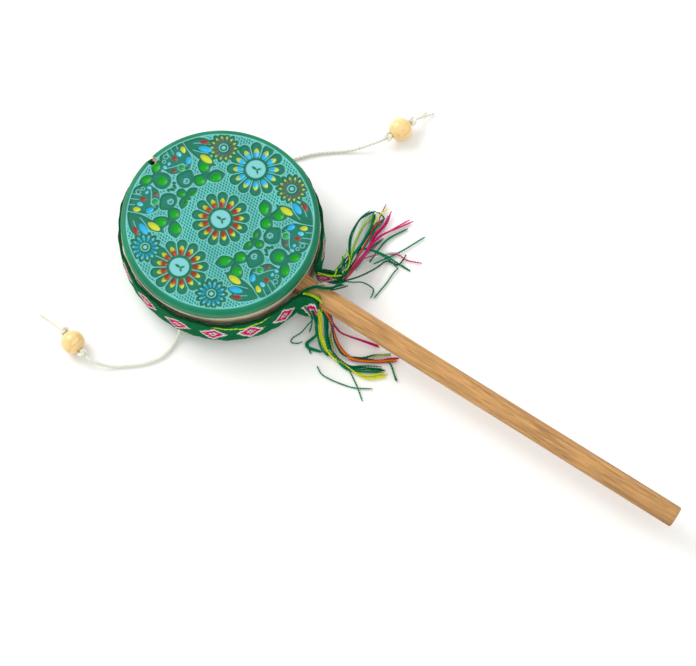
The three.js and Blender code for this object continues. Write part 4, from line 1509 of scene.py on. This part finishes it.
def woven_finish(settings):
    """Warp-faced weaving: green ground, pink diamonds edged in white, a lime zigzag, and painted
    shade along the upper edge.
    """
    finish = Finish("woven_band", roughness=0.9, Specular_IOR_Level=0.1)
    along, across, _ = finish.parts(finish.surface())
    wander = finish.math("MULTIPLY", finish.math("SUBTRACT", finish.noise(
        finish.surface(), 900.0, detail=1.0), 0.5), 0.25 * MM)

    def stitched(value, size, shift):
        count = finish.math("FLOOR", finish.math("DIVIDE", finish.math("ADD", value, shift), size))
        return finish.math("MULTIPLY", finish.math("ADD", count, 0.5), size)

    row = stitched(finish.math("ADD", across, wander), STITCH[1], 0.0)
    odd = finish.math("MODULO", finish.math("FLOOR", finish.math("DIVIDE", across, STITCH[1])), 2.0)
    brick = finish.math("MULTIPLY", odd, STITCH[0] / 2)
    column = stitched(finish.math("ADD", along, wander), STITCH[0], brick)
    radius = BAND_MIDDLE
    pitch = math.radians(DIAMOND_PITCH) * radius
    start = math.radians(DIAMOND_START) * radius
    beat = finish.math("PINGPONG", finish.math("SUBTRACT", column, start), pitch / 2)
    high = finish.math("ABSOLUTE", finish.math("SUBTRACT", row, DIAMOND_MIDDLE))
    size = finish.math("ADD", finish.math("DIVIDE", beat, DIAMOND_LENGTH / 2),
                       finish.math("DIVIDE", high, DIAMOND_HEIGHT / 2))
    base = finish.blend(finish.noise(finish.surface(), 420.0), shaded(settings.green, 0.55),
                        shaded(settings.green, 1.25))
    base = finish.blend(finish.spread(size, 0.99, 1.01, 1.0, 0.0), base, settings.white)
    base = finish.blend(finish.spread(size, 0.76, 0.78, 1.0, 0.0), base, settings.pink)
    base = finish.blend(finish.spread(size, 0.31, 0.33, 1.0, 0.0), base, settings.white)
    base = finish.blend(finish.spread(size, 0.15, 0.17, 1.0, 0.0), base, settings.green)
    third = 2 * math.pi * radius / ZIGZAG_MIDDLES
    from_middle = finish.math("PINGPONG", finish.math(
        "SUBTRACT", column, math.radians(ZIGZAG_ANGLE) * radius), third / 2)
    rise = finish.math("MULTIPLY", from_middle, 0.26)
    line = finish.math("ABSOLUTE", finish.math("SUBTRACT", row, finish.math(
        "ADD", rise, 9.2 * MM)))
    lime = finish.spread(line, 0.42 * MM, 0.5 * MM, 1.0, 0.0)
    lime = finish.math("MULTIPLY", lime, finish.spread(from_middle, 13 * MM, 14 * MM, 1.0, 0.0))
    base = finish.blend(lime, base, settings.lime)
    # Painted shade: the band's upper edge is darkened where the hem above shades it.
    painted_hem_shade = finish.spread(across, 12.2 * MM, 12.5 * MM)
    base = finish.blend(painted_hem_shade, base, shaded(settings.green, 0.4))
    finish.colour(base)
    ribs = finish.math("SINE", finish.math("MULTIPLY", across, math.pi / STITCH[1]))
    floats = finish.math("SINE", finish.math("MULTIPLY", finish.math("ADD", along, brick),
                                             math.pi / STITCH[0]))
    weave = finish.math("MULTIPLY", finish.math("ABSOLUTE", ribs), finish.math(
        "POWER", finish.math("ABSOLUTE", floats), 0.5))
    finish.relief(weave, 0.32 * MM, 0.9)
    finish.relief(finish.noise(finish.surface((1.0, 3.0, 1.0)), 2600.0), 0.08 * MM, 0.5)
    return finish.material


class DRUM_OT_band(Operator):
    """Weaves the patterned band and draws it round the hoop"""

    bl_idname = "drum.band"
    bl_label = "Woven Band"

    def execute(self, context):
        settings = context.scene.drum_yarn
        clear_selection()
        rails = [band_rail(number) for number in range(3)]
        columns = len(rails[0]) - 1
        bpy.ops.mesh.primitive_grid_add(x_subdivisions=columns, y_subdivisions=24, size=2.0)
        band = named("patterned_band")
        flat = corners_of(band)
        column = np.rint((flat[:, 0] + 1) / 2 * columns).astype(int)
        rise = (flat[:, 1] + 1) / 2
        low, middle, high = (rail[column] for rail in rails)
        share = rise[:, None]
        places = (low * (1 - share) * (1 - 2 * share) + 4 * middle * share * (1 - share)
                  + high * share * (2 * share - 1))
        steps = np.linalg.norm(np.diff(rails[1], axis=0), axis=1)
        travelled = np.concatenate([[0], np.cumsum(steps)])
        along = (travelled - travelled[columns // 2]) - math.pi * BAND_MIDDLE
        wave = along[column] / BAND_MIDDLE
        self.make_uneven(places, wave, rise)
        move_corners(band, places)
        layer = band.data.uv_layers["UVMap"].data
        corners = np.empty(len(band.data.loops), dtype=np.int32)
        band.data.loops.foreach_get("vertex_index", corners)
        wraps = np.stack([along[column], rise * BAND_WIDTH], axis=1)[corners]
        layer.foreach_set("uv", wraps.astype(np.float32).ravel())
        turn_outwards(band)
        self.face_outwards(band)
        apply_modifier(band, "SOLIDIFY", thickness=BAND_THICKNESS - 0.3 * MM, offset=-1.0,
                       use_even_offset=True)
        smooth(band, 60)
        dress(band, woven_finish(settings), "band_weave", "woven_band")
        context.scene["band_length"] = travelled[-1]
        return {"FINISHED"}

    def make_uneven(self, places, wave, rise):
        """Ripples the band, and frays its edges a little."""
        outward = places * (1, 1, 0) / np.hypot(places[:, 0], places[:, 1])[:, None]
        ripple = 0.22 * MM * np.sin(wave * 14) * rise + 0.12 * MM * np.sin(wave * 37 + 1)
        places -= outward * (0.25 * MM + ripple)[:, None]
        fray = 0.14 * MM * np.sin(wave * 150) + 0.16 * MM * np.sin(wave * 61 + 2)
        places[:, 2] += fray * (2 * rise - 1) + 0.12 * MM * np.sin(wave * 23)

    def face_outwards(self, band):
        """Turns the faces over if they look at the hoop."""
        face = band.data.polygons[0]
        if face.normal.dot(Vector((face.center[0], face.center[1], 0))) < 0:
            take(band)
            bpy.ops.object.mode_set(mode="EDIT")
            bpy.ops.mesh.select_all(action="SELECT")
            bpy.ops.mesh.flip_normals()
            bpy.ops.object.mode_set(mode="OBJECT")


# ----------------------------------------------------------------- the tassels

YARN_COLOURS = {
    "green": (0.0, 0.26, 0.105),
    "dark": (0.0, 0.12, 0.05),
    "pale": (0.36, 0.62, 0.30),
    "lime": (0.42, 0.72, 0.02),
    "yellow": (0.90, 0.92, 0.035),
    "pink": (0.75, 0.02, 0.20),
    "orange": (0.88, 0.28, 0.015),
    "white": (0.72, 0.78, 0.72),
    "mauve": (0.50, 0.22, 0.33),
    "red": (0.70, 0.05, 0.05),
}

# The bunches of yarn: their colours, how loosely they lie, and the way they run,
# in millimetres, from the stick's root to their cut ends.
UPPER_YARNS = [
    ("green green dark", 0.7, [(57, 13.5, 17), (55.5, 20, 15), (52, 26.5, 11), (48, 33.5, 7),
                               (46, 40, 4), (45, 46, 2), (46.5, 51, 1.2), (48, 53.5, 1)]),
    ("pale pale lime", 0.7, [(57, 14, 16), (54.5, 22.5, 13), (52, 30, 9), (50, 36.5, 5.5),
                             (48.5, 43, 3), (48.5, 51, 1)]),
    ("green green green dark", 0.8, [(57.5, 14.5, 16), (54.5, 24, 12.5), (53.5, 32.5, 8),
                                     (52.5, 40, 4.5), (51.5, 46, 2), (48.5, 53, 1)]),
    ("green dark red", 0.7, [(58, 14, 16), (56.5, 25, 12), (55.5, 32.5, 8), (54.5, 39.5, 4),
                             (53.5, 45, 2), (54.5, 52, 1.2)]),
    ("pink pink pink", 0.7, [(58, 13.5, 15), (58, 22, 12), (57.5, 30.5, 8), (57, 37.5, 4.5),
                             (57.5, 43.5, 2.2), (62.5, 54, 1), (65.5, 59.5, 0.8)]),
    ("pink mauve pink", 0.7, [(58, 13.5, 15), (57.5, 23, 12), (57.5, 30, 8), (56.5, 36, 4.5),
                              (55.5, 42, 2.5), (56, 50.5, 1.3), (54.5, 57, 0.9)]),
    ("dark", 0.2, [(55.5, 38, 3.5), (54, 44, 2), (52.5, 48.5, 1.6), (54, 50, 1.6),
                   (54, 52, 1.4), (51, 53, 1.2), (49, 52.5, 1.1)]),
    ("yellow", 0.2, [(52, 42.5, 2.2), (51.5, 49, 2), (51.5, 54, 1.5), (53, 57.5, 1)]),
    ("mauve", 0.2, [(53, 48.5, 1.4), (51.5, 53.5, 1.2), (51, 56.5, 1), (50.5, 59, 0.8)]),
    ("mauve white dark mauve", 0.8, [(57.5, 13, 14), (58, 19.5, 12), (58, 25.5, 9),
                                     (57.5, 30.5, 7), (57.5, 35, 4), (59, 44, 1.5)]),
    ("green green", 0.5, [(58, 14.5, 13), (58, 21, 11), (55.5, 27.5, 9), (54.5, 31, 7.5),
                          (57, 34, 5.5), (60.5, 35.5, 4), (64.5, 37, 2.5), (70, 37.5, 1.5),
                          (79, 38, 0.8)]),
    ("green", 0.2, [(57, 34.5, 5), (61.5, 35.5, 3.6), (66.5, 36.5, 1.6), (72.5, 35.5, 0.9)]),
    ("dark", 0.2, [(58, 12.5, 14), (61, 17.5, 11), (63.5, 24, 7), (65, 30, 3.5),
                   (66.5, 35.5, 1.5), (71.5, 37, 1), (72, 40.5, 0.9), (71.5, 44.5, 0.8)]),
    ("pink", 0.2, [(58, 29, 6), (60, 33, 4), (64, 37.5, 2.2), (69, 41, 1.3), (73.5, 41, 1),
                   (81, 44, 0.8)]),
    ("green green", 0.3, [(61, 29.5, 5), (60.5, 37.5, 2.5), (61, 44.5, 1.3), (65.5, 54.5, 0.8)]),
    ("green", 0.2, [(62.5, 30.5, 3), (66.5, 38, 1.5), (69.5, 44, 1), (74.5, 56, 0.8)]),
    ("green", 0.2, [(57.5, 12, 14), (61, 15.5, 10), (63.5, 19, 6), (66.5, 20.5, 3),
                    (69, 20.5, 1.2), (70, 17.5, 0.9), (70, 15.5, 0.8)]),
    ("green", 0.2, [(72.5, 35.5, 1.2), (72, 32, 1), (72, 26.5, 0.9), (71.5, 16.5, 0.8)]),
    ("white white", 0.4, [(59, 21, 10), (60, 29, 5), (62.5, 36, 2.4), (69, 42.5, 1)]),
    ("dark green dark green green", 1.6, [(53.5, 10, 17), (54, 14.5, 17), (54, 18, 16),
                                          (53.5, 22, 14.5)]),
    ("lime", 0.2, [(54, 11, 18.5), (53, 14.5, 17.5), (52.5, 19, 16.5), (51.5, 24, 15)]),
    ("lime", 0.2, [(56.5, 15.5, 18), (56.5, 18, 17), (55, 21.5, 16), (50.5, 25.5, 14.5)]),
    ("lime", 0.2, [(47.5, 7, 20.8), (50, 8, 20), (54, 10, 19.6), (56.5, 13, 18)]),
]

LOWER_YARNS = [
    ("lime lime yellow", 0.5, [(47.5, -4.5, 20.6), (51, -3.5, 21.2), (54, -3.5, 21.2),
                               (56.5, -3.5, 18), (57.5, -5.5, 14), (58.5, -8, 10),
                               (60.5, -11, 6.5), (64, -14.5, 4), (67.5, -16, 2.5),
                               (72, -17, 1.8), (79, -16, 1.2)]),
    ("lime green", 0.3, [(53.5, -2, 21.6), (57.5, -3, 18), (60.5, -3.5, 13.5), (63, -5, 10),
                         (65, -8, 6), (66.5, -11, 4), (70, -13.5, 2.5)]),
    ("green green dark green", 1.0, [(54, -3, 20.6), (57.5, -4, 16), (60.5, -5.5, 12),
                                     (62.5, -8, 9), (64, -10.5, 6), (67, -13.5, 4),
                                     (70, -15.5, 2.5), (79.5, -16.5, 1.4), (84, -14, 1.2),
                                     (94.5, -8, 0.9)]),
    ("green lime green", 0.6, [(52, -5, 19), (56.5, -5, 15), (59.5, -6, 12), (62, -9, 8),
                               (64.5, -12, 5), (68.5, -15, 3), (79.5, -18, 1.2), (85, -15.5, 1),
                               (94, -10, 0.8)]),
    ("yellow yellow yellow yellow", 1.0, [(56, -5.5, 15), (59, -8, 10), (62, -12, 6),
                                          (66.5, -15, 3), (73, -16.5, 1.8), (84, -17, 1),
                                          (89.5, -16, 0.9), (97, -9, 0.7)]),
    ("white mauve dark", 0.7, [(55.5, -4, 19), (61, -5, 13), (65, -7.5, 9), (67.5, -10.5, 5.5),
                               (70.5, -12.5, 3.5), (75, -14, 2.2), (84, -10, 1.3), (89, -7, 1)]),
    ("orange pink orange pink red", 0.8, [(56, -4, 18.5), (62.5, -5.5, 12), (67, -9, 6.5),
                                          (71, -11.5, 3.5), (76, -13, 2.4), (81, -12.5, 1.6),
                                          (90, -7, 1.1), (97.5, -1, 0.8)]),
    ("pink", 0.2, [(89.5, -7.5, 1.2), (91, -5.5, 1), (92.5, -3.5, 0.9), (96, -0.5, 0.8)]),
    ("pink red pink", 0.4, [(62.5, -5.5, 11), (65.5, -6, 8), (68.5, -6, 4.5), (72, -5, 2.5),
                            (77, -3.5, 1.6), (86.5, -1, 1)]),
    ("lime dark", 0.4, [(79.5, -12, 2), (83.5, -9.5, 1.6), (86.5, -6, 1.3), (93, -0.5, 0.9)]),
    ("green green", 0.2, [(92, -5.5, 1), (94, -5, 1.2), (96, -6, 1), (101.5, -10.5, 0.7)]),
    ("green", 0.2, [(51, -8.5, 17), (53.5, -8.5, 13), (55.5, -9, 9), (54.5, -11.5, 5),
                    (53.5, -15.5, 2.5), (51.5, -19.5, 1), (52, -21, 0.8), (55, -19.5, 0.8),
                    (56.5, -17, 0.9)]),
    ("green", 0.2, [(51, -8.5, 17), (54, -8.5, 12), (55.5, -9.5, 8), (56.5, -13, 2)]),
    ("green green green", 0.6, [(54.5, -7, 15), (57, -8, 10), (58.5, -11, 7), (60, -13, 5),
                                (59, -15, 2.5), (58, -18, 1), (59.5, -19, 1), (64, -18, 1.4),
                                (67.5, -17, 1.6)]),
    ("green dark green", 0.7, [(54.5, -7.5, 15), (59.5, -11.5, 6), (61.5, -13.5, 4),
                               (65.5, -16.5, 2.4), (70, -17, 1.8)]),
    ("green", 0.2, [(58.5, -17.5, 1), (60.5, -19.5, 0.8), (62.5, -20.5, 0.8)]),
    ("green", 0.2, [(68, -24, 0.8), (71.5, -26, 0.8), (76.5, -26, 0.8), (82, -25, 0.8),
                    (87, -23.5, 0.8), (95.5, -18.5, 0.8)]),
    ("green", 0.2, [(80, -17, 1), (84, -19.5, 0.9), (88, -22, 0.9), (94, -26.5, 0.8)]),
    ("dark green dark green", 0.7, [(46, -6.5, 19.5), (47, -4, 20.8), (49, -1.5, 22.2),
                                    (51, 0.5, 22.6), (54.5, 2, 22.8), (57, 4, 22.4),
                                    (58.5, 7, 20.5), (59.5, 9.5, 18)]),
    ("dark", 0.2, [(57, 3, 22), (58.5, 4.5, 21.4), (60, 8, 18), (60.5, 11.5, 14)]),
    ("white mauve", 0.3, [(50.5, 2, 21.6), (52.5, 4, 21.4), (55, 5.5, 20.6)]),
    ("lime", 0.2, [(48.5, -4.5, 21.4), (52, -4, 22), (55, -3.5, 21.8), (56.5, -4, 19)]),
]


def yarn_finish():
    """Soft acrylic yarn in the dye of each strand."""
    finish = Finish("tassel_yarn", roughness=0.9, Specular_IOR_Level=0.12)
    fibres = finish.noise(finish.surface((6.0, 1500.0, 1.0)), 1.0, detail=3.0)
    dye = finish.tint("dye")
    dark = finish.blend(1.0, dye, (0.62, 0.62, 0.62), "MULTIPLY")
    finish.colour(finish.blend(finish.spread(fibres, 0.3, 0.65), dark, dye))
    finish.relief(fibres, 0.05 * MM, 0.6)
    return finish.material


def yarn_end(share):
    """Widths along a yarn whose cut end opens a little."""
    return 1.0 - 0.35 * eased(share, 0.93, 1.0)


def wind_bunch(spool, route, colours, spread, radius, chance):
    """Yarns side by side along a route, each wandering a little, none below the floor."""
    path = spline(metres(route), 0.4 * MM)
    side, over = frames_along(path)
    share = np.linspace(0, 1, len(path))
    for i, colour in enumerate(colours):
        turn = 2.4 * i + chance.uniform(0, 0.8)
        reach = spread * MM * math.sqrt((i + 0.5) / len(colours)) * (0.75 + 0.8 * share ** 3)
        swing = turn + chance.uniform(0.6, 1.6) * np.sin(share * chance.uniform(3, 7) + i)
        yarn = (path + side * (reach * np.cos(swing))[:, None]
                + over * (reach * np.sin(swing))[:, None])
        cut = len(yarn) - int(chance.uniform(0, 0.06) * len(yarn))
        width = radius * chance.uniform(0.85, 1.15)
        yarn[:, 2] = np.maximum(yarn[:, 2], width)
        spool.wind(yarn[:cut], width, 2, 2.6 * MM, YARN_COLOURS[colour], sides=4,
                   ease=yarn_end, phase=chance.uniform(0, 6))


class DRUM_OT_tassels(Operator):
    """Ties off the ends of the band in two tassels of loose yarns"""

    bl_idname = "drum.tassels"
    bl_label = "Tassels"

    def execute(self, context):
        settings = context.scene.drum_yarn
        yarn = yarn_finish()
        upper = self.add_tassel(settings, "upper", UPPER_YARNS)
        dress(upper, yarn, "tassel_yarn", "upper_tassel")
        lower = self.add_tassel(settings, "lower", LOWER_YARNS)
        dress(lower, yarn, "tassel_yarn", "lower_tassel")
        return {"FINISHED"}

    def add_tassel(self, settings, name, yarns):
        spool = Spool()
        chance = random.Random(11)
        for colours, spread, route in yarns:
            wind_bunch(spool, route, colours.split(), spread, settings.yarn_radius, chance)
        return spool.mesh(f"{name}_yarn_tassel")


# ------------------------------------------------------------ panel and running

class DRUM_PT_panel(Panel):
    """Lists the pieces of the rattle drum"""

    bl_idname = "DRUM_PT_panel"
    bl_label = "Rattle Drum"
    bl_space_type = "VIEW_3D"
    bl_region_type = "UI"
    bl_category = "Rattle Drum"

    def draw(self, context):
        for piece in OPERATORS:
            self.layout.operator(piece.bl_idname)
        for group in SETTINGS:
            box = self.layout.box()
            for name in SETTINGS[group].__annotations__:
                box.prop(getattr(context.scene, group), name)


SETTINGS = {
    "drum_stage": StageSettings,
    "drum_cord": CordSettings,
    "drum_wood": WoodSettings,
    "drum_leather": LeatherSettings,
    "drum_yarn": YarnSettings,
}
OPERATORS = (
    DRUM_OT_stage, DRUM_OT_beads, DRUM_OT_cords, DRUM_OT_stick, DRUM_OT_hoop,
    DRUM_OT_top_head, DRUM_OT_bottom_head, DRUM_OT_band, DRUM_OT_tassels,
)


def register():
    for kind in (*SETTINGS.values(), *OPERATORS, DRUM_PT_panel):
        bpy.utils.register_class(kind)
    for name, kind in SETTINGS.items():
        setattr(bpy.types.Scene, name, PointerProperty(type=kind))


def unregister():
    for name in SETTINGS:
        delattr(bpy.types.Scene, name)
    for kind in (DRUM_PT_panel, *reversed(OPERATORS), *SETTINGS.values()):
        bpy.utils.unregister_class(kind)


def main():
    """Makes every piece in order."""
    register()
    bpy.ops.drum.stage()
    bpy.ops.drum.beads()
    bpy.ops.drum.cords()
    bpy.ops.drum.stick()
    bpy.ops.drum.hoop()
    bpy.ops.drum.top_head()
    bpy.ops.drum.bottom_head()
    bpy.ops.drum.band()
    bpy.ops.drum.tassels()


if __name__ == "__main__":
    main()
